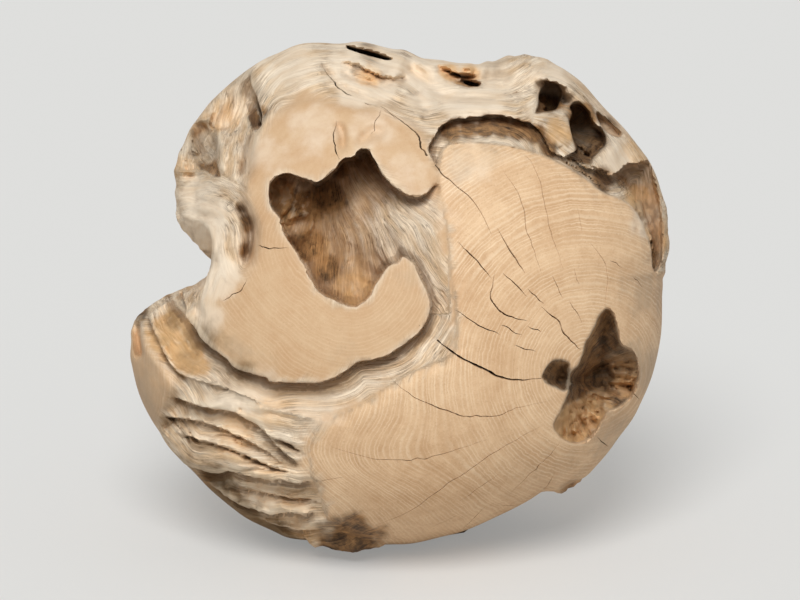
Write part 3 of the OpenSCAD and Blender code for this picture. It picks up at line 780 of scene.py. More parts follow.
def sanded_chart(gaps, pits, coarse, fringe, faded):
    """Where the wood is sanded smooth; it passes into torn wood along the fibres."""
    torn = gaps.dome + faded * (9 * (coarse - 0.55) + 3 * fringe)
    soft = 0.6 + 3.4 * faded
    slab = smooth(4, -4, gaps.slab + 5 * (coarse - 0.5)) * smooth(0.4, -0.6, gaps.edge)
    sanded = np.maximum(smooth(soft, -soft, torn), slab)
    return np.maximum(sanded, smooth(2.5, -2.5, gaps.left)) * (1 - pits)


def carve_face():
    """All charts of the face: depth, undercut, fibre lines, rings and masks."""
    ragged = face_rough(4, seed=11)
    fringe = face_rough(1.8, seed=31)
    gaps = face_gaps(ragged, fringe)
    depth, lean, grown, splinter = land_charts(gaps, fringe)
    brink = smooth(-0.35, 0.45, gaps.edge)
    depth = np.where(gaps.lower > 0, depth * (1 - brink) + moat_chart(gaps) * brink, depth)
    lean += leaning(blurred(gaps.upper, 1.2), np.exp(-(gaps.upper / 6.0) ** 2) * (gaps.lower > 1.5))
    pit_depth, pits = pit_charts(ragged)
    depth = np.maximum(depth, pit_depth)

    # what is sanded is smooth, and the rest is ridged by its fibres
    across = flow_lines(gaps, pits)
    strands = fibres(across, ACROSS, 0 * UP, UP, 2.4, 16, 61)
    coarse = fibres(across, ACROSS, 0 * UP, UP, 5.5, 24, 64)
    faded = smooth(30, 19, ACROSS) * smooth(54, 44, UP)
    sanded = sanded_chart(gaps, pits, coarse, fringe, faded)
    hollow = np.maximum(pits, 0.4 * gaps.moat * smooth(12, 26, depth))
    stains = {name: stain_chart(patches) for name, patches in STAINS.items()}
    for name in ("yellow", "bark"):
        stains[name] *= 1 - 0.9 * sanded * (UP > -66)
    wild = (0.55 + 0.9 * splinter + 0.4 * gaps.moat + 0.35 * hollow + 0.4 * stains["yellow"] +
            0.4 * grown * (ACROSS < -48))
    cap = smooth(1.5, -1.5, sign_gap(PALE_CAP, 12)) * smooth(0.5, -0.5, gaps.dome)
    depth += 1.5 * np.maximum((1 - sanded) * wild, 0.3 * cap) * (1 - strands - coarse)
    crumbly = (0.9 * hollow + 0.7 * (1 - sanded) * stains["yellow"] * (1 - splinter) +
               2.4 * bump_chart(ROT_SPOTS) * gaps.moat)
    depth += crumbly * face_rough(1.6, seed=71, octaves=2)
    soft = faded * np.exp(-(gaps.dome / 2.5) ** 2)
    depth = np.maximum(depth + soft * (blurred(depth, 1.2) - depth), 0)

    # marks for the material
    ringed = smooth(2, -2, gaps.lower) * (1 - 0.9 * smooth(2, -6, gaps.left))
    # cavity: concave places above zero, which the material darkens with painted shade; convex ones
    # below zero, which it makes paler.
    cavity = np.clip((depth - blurred(depth, 1.6)) / 1.4, -1, 1) * (1 - 0.7 * sanded)
    slab_rim = (smooth(2.4, 0.2, np.abs(gaps.upper)) * (gaps.upper < 0.3) * (gaps.lower > 0) *
                (ACROSS < 12))
    charts = {"depth": depth, "lean_x": lean[0], "lean_z": lean[1], "level": 2.0 + 3.0 * splinter,
              "across": across, "rings": ring_phase(gaps), "sanded": sanded, "hollow": hollow,
              "ringed": ringed + 0.3 * smooth(52, 20, UP) * (gaps.slab < 0),
              "cavity": np.maximum(cavity, -1 + 0.85 * smooth(4, 12, ACROSS) * (gaps.lower > 0)),
              **stains}
    slab_rim = (0.4 + 0.5 * ragged) * slab_rim
    charts["pale"] = np.maximum.reduce([charts["pale"], 0.25 * cap, slab_rim])
    return {name: np.ascontiguousarray(chart, dtype=np.float32) for name, chart in charts.items()}


# ------------------------------------------------------------- the whole ball

TURNS = np.linspace(0, 360, 721)


def outline_table():
    """Radius of the outline at each half degree."""
    table = np.array(OUTLINE, dtype=np.float64)
    value = np.empty_like(TURNS)
    for (a, ra), (b, rb) in zip(table[:-1], table[1:]):
        part = (TURNS >= a) & (TURNS <= b)
        t = (TURNS[part] - a) / (b - a)
        value[part] = ra + (rb - ra) * (1 - np.cos(np.pi * t)) / 2
    return value


RADII = outline_table()


def outline_radius(x, z):
    """Radius of the outline in the direction of each place on the face."""
    return np.interp(np.degrees(np.arctan2(z, x)) % 360, TURNS, RADII)


def skin_radius(x, z, r):
    """Radius of the envelope in the direction of each place."""
    edge = outline_radius(x, z).astype(np.float32)
    rim2 = (x * x + z * z) / (r * r)
    calm = CALM + (edge - CALM) * rim2 ** 1.5
    return 1 / np.sqrt(rim2 / (calm * calm) + (1 - rim2) / (REACH * REACH))


def one_radius(x, y, z):
    """Radius of the envelope in the direction of one place."""
    r = math.sqrt(x * x + y * y + z * z)
    return float(skin_radius(*[np.array([v]) for v in (x, z, r)])[0])


def skin_point(direction, sink=0.0):
    """Place on the envelope in a direction, sunk towards the middle."""
    d = np.array(direction, dtype=np.float64)
    d /= np.linalg.norm(d)
    return d * (one_radius(*d) - sink)


def face_point(x, z):
    """Place on the envelope seen at [x, z] on the face."""
    low, high = -100.0, -0.5
    for _ in range(40):
        y = (low + high) / 2
        outside = math.sqrt(x * x + y * y + z * z) > one_radius(x, y, z)
        low, high = (y, high) if outside else (low, y)
    return np.array([x, (low + high) / 2, z])


def stretch_gap(q, a, b):
    """Distance from places to a straight stretch, and the share along it."""
    d = b - a
    t = np.clip((q - a) @ d / (d @ d), 0, 1)
    return np.linalg.norm(q - a - t[:, None] * d, axis=1), t


def far_relief(q, r, radius):
    """Depth of the valleys round the side and back, and the line of their fibres."""
    on_skin = q * (radius / r)[:, None]
    total = np.zeros(len(q), dtype=np.float32)
    deepest = np.zeros(len(q), dtype=np.float32)
    across = np.hypot(q[:, 0] - 10, q[:, 2] + 10)
    closest = np.full(len(q), 26.0)
    for half, depth, points in FAR_VALLEYS:
        run = [skin_point(p) for p in points]
        gap = np.full(len(q), FAR_AWAY)
        for a, b in zip(run[:-1], run[1:]):
            gap = np.minimum(gap, stretch_gap(on_skin, a, b)[0])
        part = depth * (1 + np.cos(np.pi * np.clip(gap / half, 0, 1))) / 2
        total += part
        deepest = np.maximum(deepest, part)
        near = gap < closest
        across = np.where(near, gap, across)
        closest = np.where(near, gap, closest)
    relief = deepest + 0.35 * (total - deepest)
    x, y, z = q.T
    grown = smooth(0.2, 2.0, relief)
    relief = relief + grown * 1.6 * (fibres(across, x, y, z, 2.4, 22, 91) - 0.5)
    relief = relief + grown * 0.8 * rough(x / 9, y / 9, z / 9, 94)
    return np.maximum(relief, 0), across, grown


def run_gap(q, run):
    """Signed distance to a rounded run of [direction, sink, radius]."""
    gap = np.full(len(q), FAR_AWAY)
    for (da, sa, ra), (db, sb, rb) in zip(run[:-1], run[1:]):
        d, t = stretch_gap(q, skin_point(da, sa), skin_point(db, sb))
        gap = np.minimum(gap, d - (ra + (rb - ra) * t))
    return gap


def near_runs(q, runs, reach, bump, height, seed):
    """For each run, the places near it and their roughened distance to it."""
    for run in runs:
        near = np.linalg.norm(q - skin_point(run[0][0]), axis=1) < reach
        if near.any():
            p = q[near]
            yield near, run_gap(p, run) + height * rough(*(p.T / bump), seed)


def upright(y, z):
    """Height above the ball's centre once the face is leant back."""
    return z * math.cos(LEAN) - y * math.sin(LEAN)


def ball_parts(q, charts):
    """How far each place lies outside the wood, with what the surface is like there."""
    x, y, z = q.T
    r = np.sqrt(x * x + y * y + z * z)
    radius = skin_radius(x, z, r)
    envelope = r - radius
    below = np.clip(-envelope - read(charts["level"], x, z), 0, MOST_UNDERCUT)
    shift_x = read(charts["lean_x"], x, z) * below
    shift_z = read(charts["lean_z"], x, z) * below
    depth = read(charts["depth"], x + shift_x, z + shift_z)
    far, across, grown = far_relief(q, r, radius)
    relief = np.maximum(depth * smooth(6, -10, y), far)
    field = envelope + relief
    hollow = np.zeros(len(q), dtype=np.float32)
    for near, gap in near_runs(q, FAR_HOLLOWS, 60, 6, 1.6, 101):
        field[near] = np.maximum(field[near], -gap)
        hollow[near] = np.maximum(hollow[near], smooth(0.8, -0.2, gap))
    for near, gap in near_runs(q, LUMPS, 50, 4, 1.3, 104):
        field[near] = np.minimum(field[near], gap)
    field = np.maximum(field, -SEAT - upright(y, z))
    return field, relief, far, across, grown, hollow


def ball_field(q, charts):
    """How far each place lies outside the wood, negative inside it."""
    return ball_parts(q, charts)[0]


def surface_net(field, low, step):
    """Vertices and four-sided faces of the surface where the field is zero."""
    inside = field < 0
    n = field.shape[0]
    m = n - 1
    count = np.zeros((m, m, m), dtype=np.uint8)
    corners = [(i, j, k) for i in (0, 1) for j in (0, 1) for k in (0, 1)]
    for i, j, k in corners:
        count += inside[i:m + i, j:m + j, k:m + k]
    cells = np.flatnonzero((count > 0) & (count < 8))
    index = np.full(m ** 3, -1, dtype=np.int32)
    index[cells] = np.arange(len(cells))
    base = np.stack(np.unravel_index(cells, (m, m, m)), axis=1)
    values = {c: field[tuple((base + c).T)] for c in corners}
    total = np.zeros((len(cells), 3))
    hits = np.zeros(len(cells))
    for a in corners:
        for axis in range(3):
            if a[axis]:
                continue
            b = tuple(v + (k == axis) for k, v in enumerate(a))
            fa, fb = values[a], values[b]
            cross = (fa < 0) != (fb < 0)
            t = np.where(cross, fa / np.where(cross, fa - fb, 1), 0)
            for k in range(3):
                total[:, k] += cross * (a[k] + (t if k == axis else 0))
            hits += cross
    points = (base + total / hits[:, None]) * step + low

    quads = []
    for axis in range(3):
        u, v = (axis + 1) % 3, (axis + 2) % 3
        first = [slice(1, n - 1)] * 3
        second = [slice(1, n - 1)] * 3
        first[axis], second[axis] = slice(0, n - 1), slice(1, n)
        a, b = inside[tuple(first)], inside[tuple(second)]
        place = np.argwhere(a != b)
        leaving = a[tuple(place.T)]
        place[:, [u, v]] += 1
        ring = []
        for du, dv in ((-1, -1), (0, -1), (0, 0), (-1, 0)):
            cell = place.copy()
            cell[:, [u, v]] += (du, dv)
            ring.append(index[(cell[:, 0] * m + cell[:, 1]) * m + cell[:, 2]])
        ring = np.stack(ring, axis=1)
        quads.append(np.where(leaving[:, None], ring, ring[:, ::-1]))
    return points, np.concatenate(quads)


def largest_piece(points, quads):
    """Only the biggest connected piece of the surface."""
    label = np.arange(len(points))
    edges = np.concatenate([quads[:, [0, 1]], quads[:, [1, 2]], quads[:, [2, 3]]])
    while True:
        low = np.minimum(label[edges[:, 0]], label[edges[:, 1]])
        fresh = label.copy()
        np.minimum.at(fresh, edges[:, 0], low)
        np.minimum.at(fresh, edges[:, 1], low)
        fresh = fresh[fresh]
        if (fresh == label).all():
            break
        label = fresh
    names, sizes = np.unique(label, return_counts=True)
    keep = label == names[np.argmax(sizes)]
    quads = quads[keep[quads[:, 0]]]
    fresh = np.cumsum(keep) - 1
    return points[keep], fresh[quads]


def settle(points, charts, step):
    """Moves the points on to the surface."""
    probe = 0.25
    for _ in range(2):
        value = ball_field(points, charts)
        slope = np.stack([ball_field(points + d, charts) - ball_field(points - d, charts)
                          for d in np.eye(3) * probe], axis=1) / (2 * probe)
        square = np.maximum((slope ** 2).sum(axis=1), 0.25)
        move = -slope * (value / square)[:, None]
        length = np.linalg.norm(move, axis=1, keepdims=True)
        points = points + move * np.minimum(1, 0.45 * step / np.maximum(length, 1e-9))
    return points


def grow_surface(charts, step):
    """Points and faces of the whole ball, in percent of the radius."""
    n = int(2 * NET_REACH / step) + 1
    axis = (-NET_REACH + step * np.arange(n)).astype(np.float32)
    field = np.ones((n, n, n), dtype=np.float32)
    y, z = np.meshgrid(axis, axis, indexing="ij")
    for i, x in enumerate(axis):
        square = x * x + y * y + z * z
        field[i][square < CORE ** 2] = -1
        shell = (square >= CORE ** 2) & (square < (NET_REACH + 0.5) ** 2)
        if shell.any():
            here = np.full(shell.sum(), x, dtype=np.float32)
            field[i][shell] = ball_field(np.stack([here, y[shell], z[shell]], axis=1), charts)
    points, quads = largest_piece(*surface_net(field, -NET_REACH, step))
    return settle(points, charts, step), quads


def to_world(q):
    """Places in percent of the radius, leant back and put in the frame, in metres."""
    x, y, z = q.T
    back = y * math.cos(LEAN) + z * math.sin(LEAN)
    return np.stack([x, back, upright(y, z) + SEAT], axis=1) * UNIT + [0, 0, BALL_LOW.z]


def to_percent(world):
    """Places in the frame as percent of the radius, square on to the face."""
    x, back = world[:, 0] / UNIT, world[:, 1] / UNIT
    height = (world[:, 2] - BALL_LOW.z) / UNIT - SEAT
    return np.stack([x, back * math.cos(LEAN) - height * math.sin(LEAN),
                     height * math.cos(LEAN) + back * math.sin(LEAN)], axis=1)


# ---------------------------------------------------------------------- cracks

def crack_wedge(run, width, depth, seed):
    """Vertices and faces of a thin wedge that follows a run over the surface."""
    rng = np.random.default_rng(seed)
    curve = rounded_run(run, steps=5)
    count = len(curve)
    out = curve / np.linalg.norm(curve, axis=1, keepdims=True)
    side = np.cross(np.gradient(curve, axis=0), out)
    side /= np.maximum(np.linalg.norm(side, axis=1, keepdims=True), 1e-6)
    share = np.linspace(0, 1, count)
    wander = np.convolve(rng.normal(0, 1, count + 4), [0.2, 0.3, 0.3, 0.2], "same")[2:-2]
    curve = curve + side * (wander * 0.55 * np.sin(np.pi * share))[:, None]
    taper = np.minimum(1, 2.6 * np.minimum(share, 1 - share) + 0.12)
    taper = taper * rng.uniform(0.75, 1.15, count)
    corners = len(WEDGE)
    vertices, faces = [], []
    for i in range(count):
        half, deep = 0.5 * width * taper[i], depth * (0.35 + 0.65 * taper[i])
        for across, rise, fall in WEDGE:
            vertices.append(curve[i] + side[i] * half * across + out[i] * (rise - fall * deep))
    for i in range(count - 1):
        for k in range(corners):
            a, b = corners * i + k, corners * i + (k + 1) % corners
            faces.append((a, b, b + corners, a + corners))
    faces.append(tuple(reversed(range(corners))))
    faces.append(tuple(corners * (count - 1) + k for k in range(corners)))
    return np.array(vertices), faces


def surface_run(run, charts):
    """Points of the finished surface seen along a run on the face."""
    points = []
    for x, z in rounded_run(run, steps=2):
        p = face_point(float(x), float(z))
        sink = float(read(charts["depth"], np.array([x]), np.array([z]))[0])
        points.append(p * (1 - sink / np.linalg.norm(p)))
    return np.array(points)


def crack_batches(charts, scale):
    """Wedges sorted into batches whose members keep clear of each other."""
    wedges = []
    for seed, (width, run) in enumerate(CRACKS):
        breadth = width * 0.001 / UNIT * scale
        wedges.append(crack_wedge(surface_run(run, charts), breadth, 3.0 + 1.6 * breadth, seed))
    for seed, (width, run) in enumerate(FAR_CRACKS, 100):
        curve = np.array([skin_point(p) for p in rounded_run(run, steps=3)])
        wedges.append(crack_wedge(curve, width * 0.001 / UNIT * scale, 4.0, seed))
    batches = []
    for vertices, faces in wedges:
        low, high = vertices.min(axis=0) - 1, vertices.max(axis=0) + 1
        for batch in batches:
            if all((low > h).any() or (high < l).any() for l, h, _, _ in batch):
                batch.append((low, high, vertices, faces))
                break
        else:
            batches.append([(low, high, vertices, faces)])
    return batches


def make_mesh(name, points, faces):
    """Mesh from points and faces."""
    mesh = bpy.data.meshes.new(name)
    if isinstance(faces, np.ndarray):
        sides = faces.shape[1]
        mesh.vertices.add(len(points))
        mesh.vertices.foreach_set("co", points.astype(np.float32).ravel())
        mesh.loops.add(faces.size)
        mesh.loops.foreach_set("vertex_index", faces.astype(np.int32).ravel())
        mesh.polygons.add(len(faces))
        mesh.polygons.foreach_set("loop_start", np.arange(0, faces.size, sides, dtype=np.int32))
        mesh.update(calc_edges=True)
        mesh.validate()
    else:
        mesh.from_pydata([tuple(p) for p in points], [], faces)
        mesh.update()
    return mesh


def new_object(name, data):
    """Object in the scene that shows some data."""
    made = bpy.data.objects.new(name, data)
    bpy.context.scene.collection.objects.link(made)
    return made


def apply_modifiers(piece):
    """Puts the outcome of the modifiers into the mesh."""
    graph = bpy.context.evaluated_depsgraph_get()
    done = bpy.data.meshes.new_from_object(piece.evaluated_get(graph))
    old = piece.data
    piece.modifiers.clear()
    piece.data = done
    bpy.data.meshes.remove(old)


def cut_cracks(piece, charts, scale, draw):
    """Cuts the drying cracks into the piece, batch by batch."""
    for number, batch in enumerate(crack_batches(charts, scale)):
        vertices, faces = [], []
        for _, _, part, sides in batch:
            start = len(vertices)
            vertices.extend(part)
            faces += [tuple(start + k for k in face) for face in sides]
        name = "crack_wedges_%d" % number
        mesh = make_mesh(name, draw(np.array(vertices)), faces)
        cutter = new_object(name, mesh)
        cut = piece.modifiers.new("cracks", "BOOLEAN")
        cut.operation = "DIFFERENCE"
        cut.solver = "MANIFOLD"
        cut.object = cutter
        apply_modifiers(piece)
        bpy.data.objects.remove(cutter)
        bpy.data.meshes.remove(mesh)


def thin_out(piece, points, share):
    """Leaves a share of the piece's faces, most of them where the face is carved."""
    plain = piece.vertex_groups.new(name="plain")
    for low, high, weight in PLAINNESS:
        inside = (points[:, 1] >= low) & (points[:, 1] < high)
        plain.add(np.nonzero(inside)[0].tolist(), weight, "REPLACE")
    thin = piece.modifiers.new("thin", "DECIMATE")
    thin.vertex_group = plain.name
    thin.ratio = min(1.0, share)
    thin.use_collapse_triangulate = True
    apply_modifiers(piece)


# ---------------------------------------------------------- surface attributes

def mark_surface(mesh, charts, undraw):
    """Stores what the wood is like at each vertex for the material."""
    flat = np.empty(len(mesh.vertices) * 3, dtype=np.float32)
    mesh.vertices.foreach_get("co", flat)
    q = undraw(flat.reshape(-1, 3).astype(np.float64))
    field, relief, far, far_across, grown, hollow = ball_parts(q, charts)
    x, y, z = q.T
    facing = smooth(20, -10, y + 16 * rough(x / 20, y / 20, z / 20, 112))

    def both(name, back):
        return read(charts[name], x, z) * facing + back * (1 - facing)

    back_stain = smooth(0.1, 0.6, rough(x / 30, y / 30, z / 30, 111))
    sanded = both("sanded", 1 - grown) * (1 - grown * (1 - facing)) * (1 - hollow)
    dark = np.maximum(both("hollow", 0 * x), hollow)
    millimetres = UNIT * 1000
    values = {
        "sanded": sanded * (1 - smooth(0.6, 2.0, far)),
        "hollow": dark,
        # Hollows count as 8 deep here, so the painted depth shade of the grown wood darkens them
        # too.
        "depth": np.maximum(relief, dark * 8),
        "across": np.where(facing > 0.5, read(charts["across"], x, z), far_across) * millimetres,
        "rings": read(charts["rings"], x, z) * millimetres,
        "ringed": both("ringed", 0.5),
        "crack": smooth(0.35, 1.6, -field),
        "cavity": both("cavity", 0.3 * hollow),
        "bark": np.maximum(both("bark", 0.5 * hollow), 0.8 * hollow),
        "grey": both("grey", 0.4 * back_stain),
        "yellow": both("yellow", 0.5 * (1 - back_stain) * grown),
        # On the back, pale grows towards the top, and olive, which is painted shade, grows towards
        # the bottom.
        "pale": both("pale", np.maximum(0.6 * grown, 0.7 * smooth(20, 75, z))),
        "olive_and_painted_shade": both("olive_and_painted_shade", smooth(-45, -80, z)),
    }
    for name, value in values.items():
        layer = mesh.attributes.new(name, "FLOAT", "POINT")
        layer.data.foreach_set("value", np.asarray(value, dtype=np.float32))


# -------------------------------------------------------------------- materials

# Colours of the wood as the eye sees them, from 0 to 255
TONES = {
    "slab": (211, 180, 143), "ring line": (246, 222, 188), "ray": (168, 126, 90),
    "pale ray": (248, 228, 198), "pore": (160, 120, 84), "grown": (248, 231, 206),
    "grown streak": (226, 197, 160), "groove": (140, 100, 64), "split": (104, 72, 44),
    # Painted shade: "deep" darkens grown wood that lies deep below the envelope, the olive tone on
    # the next line also darkens the underside, and the recess colour after it darkens concave
    # creases.
    "deep": (172, 126, 80), "rot": (54, 35, 19), "rot fibre": (182, 136, 86),
    "yellow": (224, 176, 116), "grey": (164, 146, 124), "olive_and_painted_shade": (124, 96, 60),
    "painted_recess_shade": (112, 78, 48), "worn edge": (246, 228, 200), "crack": (52, 34, 20),
}


def linear(colour):
    """Colour as the eye sees it, from 0 to 255, as linear light."""
    part = [c / 255 for c in colour]
    return [c / 12.92 if c <= 0.04045 else ((c + 0.055) / 1.055) ** 2.4 for c in part] + [1.0]


def tone(name):
    """One of the wood's colours as linear light."""
    return linear(TONES[name])


class Tree:
    """Short names for laying out a node tree."""

    def __init__(self, tree):
        self.tree = tree
        self.count = 0

    def node(self, kind, **values):
        node = self.tree.nodes.new(kind)
        node.location = (200 * (self.count // 6) - 1600, 180 * (self.count % 6))
        self.count += 1
        for name, value in values.items():
            setattr(node, name, value)
        return node

    def put(self, socket, value):
        if isinstance(value, bpy.types.NodeSocket):
            self.tree.links.new(value, socket)
        else:
            socket.default_value = value

    def filled(self, kind, values, **settings):
        """Output of a node whose inputs are filled in order."""
        node = self.node(kind, **settings)
        for socket, value in zip(node.inputs, values):
            self.put(socket, value)
        return node.outputs[0]

    def math(self, operation, *values, clamp=False):
        return self.filled("ShaderNodeMath", values, operation=operation, use_clamp=clamp)

    def plus(self, a, b):
        return self.math("ADD", a, b)

    def minus(self, a, b):
        return self.math("SUBTRACT", a, b)

    def times(self, a, b, clamp=False):
        return self.math("MULTIPLY", a, b, clamp=clamp)

    def step(self, value, low, high, out_low=0.0, out_high=1.0):
        node = self.node("ShaderNodeMapRange", interpolation_type="SMOOTHSTEP")
        for name, v in (("Value", value), ("From Min", low), ("From Max", high),
                        ("To Min", out_low), ("To Max", out_high)):
            self.put(node.inputs[name], v)
        return node.outputs["Result"]

    def mix(self, share, a, b):
        node = self.node("ShaderNodeMix", data_type="RGBA", blend_type="MIX")
        self.put(node.inputs["Factor"], share)
        self.put(node.inputs[6], a)
        self.put(node.inputs[7], b)
        return node.outputs[2]

    def noise(self, place, scale, detail=3.0, rough=0.5, dimensions="3D"):
        node = self.node("ShaderNodeTexNoise", noise_dimensions=dimensions)
        self.put(node.inputs["W" if dimensions == "1D" else "Vector"], place)
        self.put(node.inputs["Scale"], scale)
        self.put(node.inputs["Detail"], detail)
        self.put(node.inputs["Roughness"], rough)
        return node.outputs["Fac"]

    def vector(self, x, y, z):
        return self.filled("ShaderNodeCombineXYZ", (x, y, z))

    def split(self, vector):
        node = self.node("ShaderNodeSeparateXYZ")
        self.put(node.inputs[0], vector)
        return node.outputs


def new_group(name, inputs, outputs):
    """Empty node group with named sockets: (tree, group input, group output)."""
    tree = bpy.data.node_groups.new(name, "ShaderNodeTree")
    for label, kind, value in inputs:
        socket = tree.interface.new_socket(name=label, in_out="INPUT", socket_type=kind)
        if value is not None:
            socket.default_value = value
    for label, kind in outputs:
        tree.interface.new_socket(name=label, in_out="OUTPUT", socket_type=kind)
    t = Tree(tree)
    return t, t.node("NodeGroupInput").outputs, t.node("NodeGroupOutput").inputs


FLOAT, COLOUR, VECTOR = "NodeSocketFloat", "NodeSocketColor", "NodeSocketVector"
SURFACE_MARKS = ("sanded", "hollow", "depth", "across", "rings", "ringed", "crack", "cavity",
                 "bark", "grey", "yellow", "pale", "olive_and_painted_shade")


def growth_rings_group():
    """Fine pale lines of end grain, with rays that cross them and clouds of tone."""
    t, given, out = new_group(
        "Growth Rings",
        [("Phase", FLOAT, 0.0), ("Place", VECTOR, None), ("Spacing", FLOAT, 4.7),
         ("Waviness", FLOAT, 0.7)],
        [("Line", FLOAT), ("Cloud", FLOAT), ("Speck", FLOAT), ("Pore", FLOAT)])
    place = given["Place"]
    fine_wave = t.minus(t.noise(place, 85.0, 2.0, 0.6), 0.5)
    wide_wave = t.minus(t.noise(place, 24.0, 2.0), 0.5)
    wave = t.plus(fine_wave, t.times(wide_wave, 1.6))
    phase = t.math("DIVIDE", given["Phase"], given["Spacing"])
    phase = t.plus(phase, t.times(wave, given["Waviness"]))
    phase = t.plus(phase, t.times(t.noise(phase, 0.35, 1.0, 0.5, "1D"), 1.8))

    # one line to each ring, stronger in some years and in some patches
    saw = t.math("FRACT", phase)
    line = t.times(t.step(saw, 0.4, 0.72), t.step(saw, 0.98, 0.76))
    year = t.noise(t.math("FLOOR", phase), 1.7, 0.0, 0.5, "1D")
    patchy = t.step(t.noise(place, 16.0, 3.0, 0.6), 0.32, 0.62, 0.25, 1.0)
    t.put(out["Line"], t.times(t.times(line, patchy), t.plus(0.5, t.times(year, 0.8))))

    band = t.noise(t.plus(phase, t.times(wide_wave, 2.0)), 0.17, 2.0, 0.6, "1D")
    cloud = t.plus(t.times(band, 0.3), t.times(t.noise(place, 9.0, 4.0, 0.6), 0.45))
    t.put(out["Cloud"], t.plus(cloud, t.times(t.noise(place, 55.0, 4.0, 0.7), 0.35)))
    parts = t.split(place)
    ray = t.vector(t.times(parts[0], 420.0), t.times(parts[2], 420.0), t.times(phase, 1.6))
    t.put(out["Speck"], t.noise(ray, 1.0, 2.0, 0.6))
    t.put(out["Pore"], t.noise(place, 620.0, 2.0, 0.6))
    return t.tree


def fibre_grain_group():
    """Long fibres of grown, weathered wood: streaks of tone and fine ridges."""
    t, given, out = new_group(
        "Fibre Grain",
        [("Across", FLOAT, 0.0), ("Place", VECTOR, None), ("Fibre Width", FLOAT, 2.5),
         ("Stretch", FLOAT, 9.0)],
        [("Tone", FLOAT), ("Streak", FLOAT), ("Split", FLOAT), ("Height", FLOAT)])
    place = given["Place"]
    parts = t.split(place)
    lane = t.math("DIVIDE", given["Across"], given["Fibre Width"])
    lane = t.plus(lane, t.times(t.noise(place, 16.0, 3.0, 0.6), 5.0))
    x = t.times(t.plus(parts[0], parts[1]), given["Stretch"])
    z = t.times(t.plus(parts[2], parts[1]), given["Stretch"])
    fine = t.noise(t.vector(lane, x, z), 1.0, 4.0, 0.68)
    broad = t.noise(t.vector(t.times(lane, 0.2), x, z), 1.0, 3.0, 0.55)
    grit = t.noise(place, 330.0, 3.0, 0.7)
    valley = t.step(t.math("ABSOLUTE", t.minus(t.times(fine, 2.0), 1.0)), 0.0, 0.14)
    t.put(out["Tone"], t.plus(t.times(t.minus(1.0, valley), 0.6),
                              t.times(t.step(grit, 0.56, 0.8), 0.5)))
    t.put(out["Streak"], broad)

    # short splits where the fibres have come apart
    coarse = t.noise(t.vector(t.times(lane, 0.42), t.times(x, 0.6), t.times(z, 0.6)), 1.0, 2.0, 0.5)
    furrow = t.step(t.math("ABSOLUTE", t.minus(coarse, 0.5)), 0.0, 0.035, 1.0, 0.0)
    split = t.times(furrow, t.step(t.noise(place, 30.0, 2.0), 0.42, 0.6))
    t.put(out["Split"], split)
    height = t.plus(t.times(valley, 0.35), t.times(broad, 0.9))
    height = t.minus(height, t.times(split, 0.9))
    t.put(out["Height"], t.plus(height, t.times(grit, 0.35)))
    return t.tree


def rotted_wood_group():
    """Dark crumbling wood of the hollows: pale fibre ends on a brown ground."""
    t, given, out = new_group(
        "Rotted Wood",
        [("Place", VECTOR, None), ("Grain", FLOAT, 0.5), ("Dark", COLOUR, (0.05, 0.03, 0.01, 1)),
         ("Light", COLOUR, (0.4, 0.25, 0.12, 1))],
        [("Color", COLOUR), ("Height", FLOAT)])
    crumb = t.noise(given["Place"], 95.0, 5.0, 0.72)
    patch = t.noise(given["Place"], 24.0, 3.0, 0.6)
    share = t.plus(t.times(crumb, 0.8), t.times(given["Grain"], 0.25))
    share = t.plus(share, t.times(t.minus(patch, 0.5), 0.9))
    t.put(out["Color"], t.mix(t.step(share, 0.3, 0.95), given["Dark"], given["Light"]))
    t.put(out["Height"], crumb)
    return t.tree


def weathering_group():
    """Lays a colour over another where its mask is strong, with ragged edges: stains, rot, and also
    painted shade and light.
    """
    t, given, out = new_group(
        "Weathering",
        [("Color", COLOUR, (0.5, 0.4, 0.3, 1)), ("Stain", COLOUR, (0.5, 0.4, 0.3, 1)),
         ("Mask", FLOAT, 0.0), ("Place", VECTOR, None), ("Patch Size", FLOAT, 40.0),
         ("Strength", FLOAT, 1.0), ("Raggedness", FLOAT, 0.9)],
        [("Color", COLOUR)])
    broken = t.minus(t.noise(given["Place"], given["Patch Size"], 4.0, 0.65), 0.5)
    edge = t.plus(given["Mask"], t.times(broken, given["Raggedness"]))
    share = t.times(t.step(edge, 0.1, 0.85), given["Strength"])
    share = t.times(share, t.step(given["Mask"], 0.0, 0.12))
    t.put(out["Color"], t.mix(share, given["Color"], given["Stain"]))
    return t.tree


def use_group(t, tree, **values):
    """Places a node group and fills its inputs."""
    node = t.node("ShaderNodeGroup")
    node.node_tree = tree
    for name, value in values.items():
        t.put(node.inputs[name.replace("_", " ")], value)
    return node.outputs


def sanded_colour(t, mask, rings, look):
    """Colour of the sanded faces: clouds, ring lines, rays and pores."""
    light = t.mix(t.step(mask["ringed"], 0.3, 0.9), tone("slab"), list(look.sanded_wood) + [1])
    clouds = t.step(rings["Cloud"], 0.36, 0.78, 0.0, 0.8)
    face = t.mix(clouds, light, list(look.late_wood) + [1])
    face = t.mix(t.times(t.times(rings["Line"], mask["ringed"]), 0.5), face, tone("ring line"))
    ray_share = t.step(mask["ringed"], 0.0, 1.0, 0.1, 0.34)
    face = t.mix(t.times(t.step(rings["Speck"], 0.55, 0.8), ray_share), face, tone("ray"))
    face = t.mix(t.times(t.step(rings["Speck"], 0.42, 0.2), ray_share), face, tone("pale ray"))
    return t.mix(t.step(rings["Pore"], 0.58, 0.8, 0.0, 0.4), face, tone("pore"))


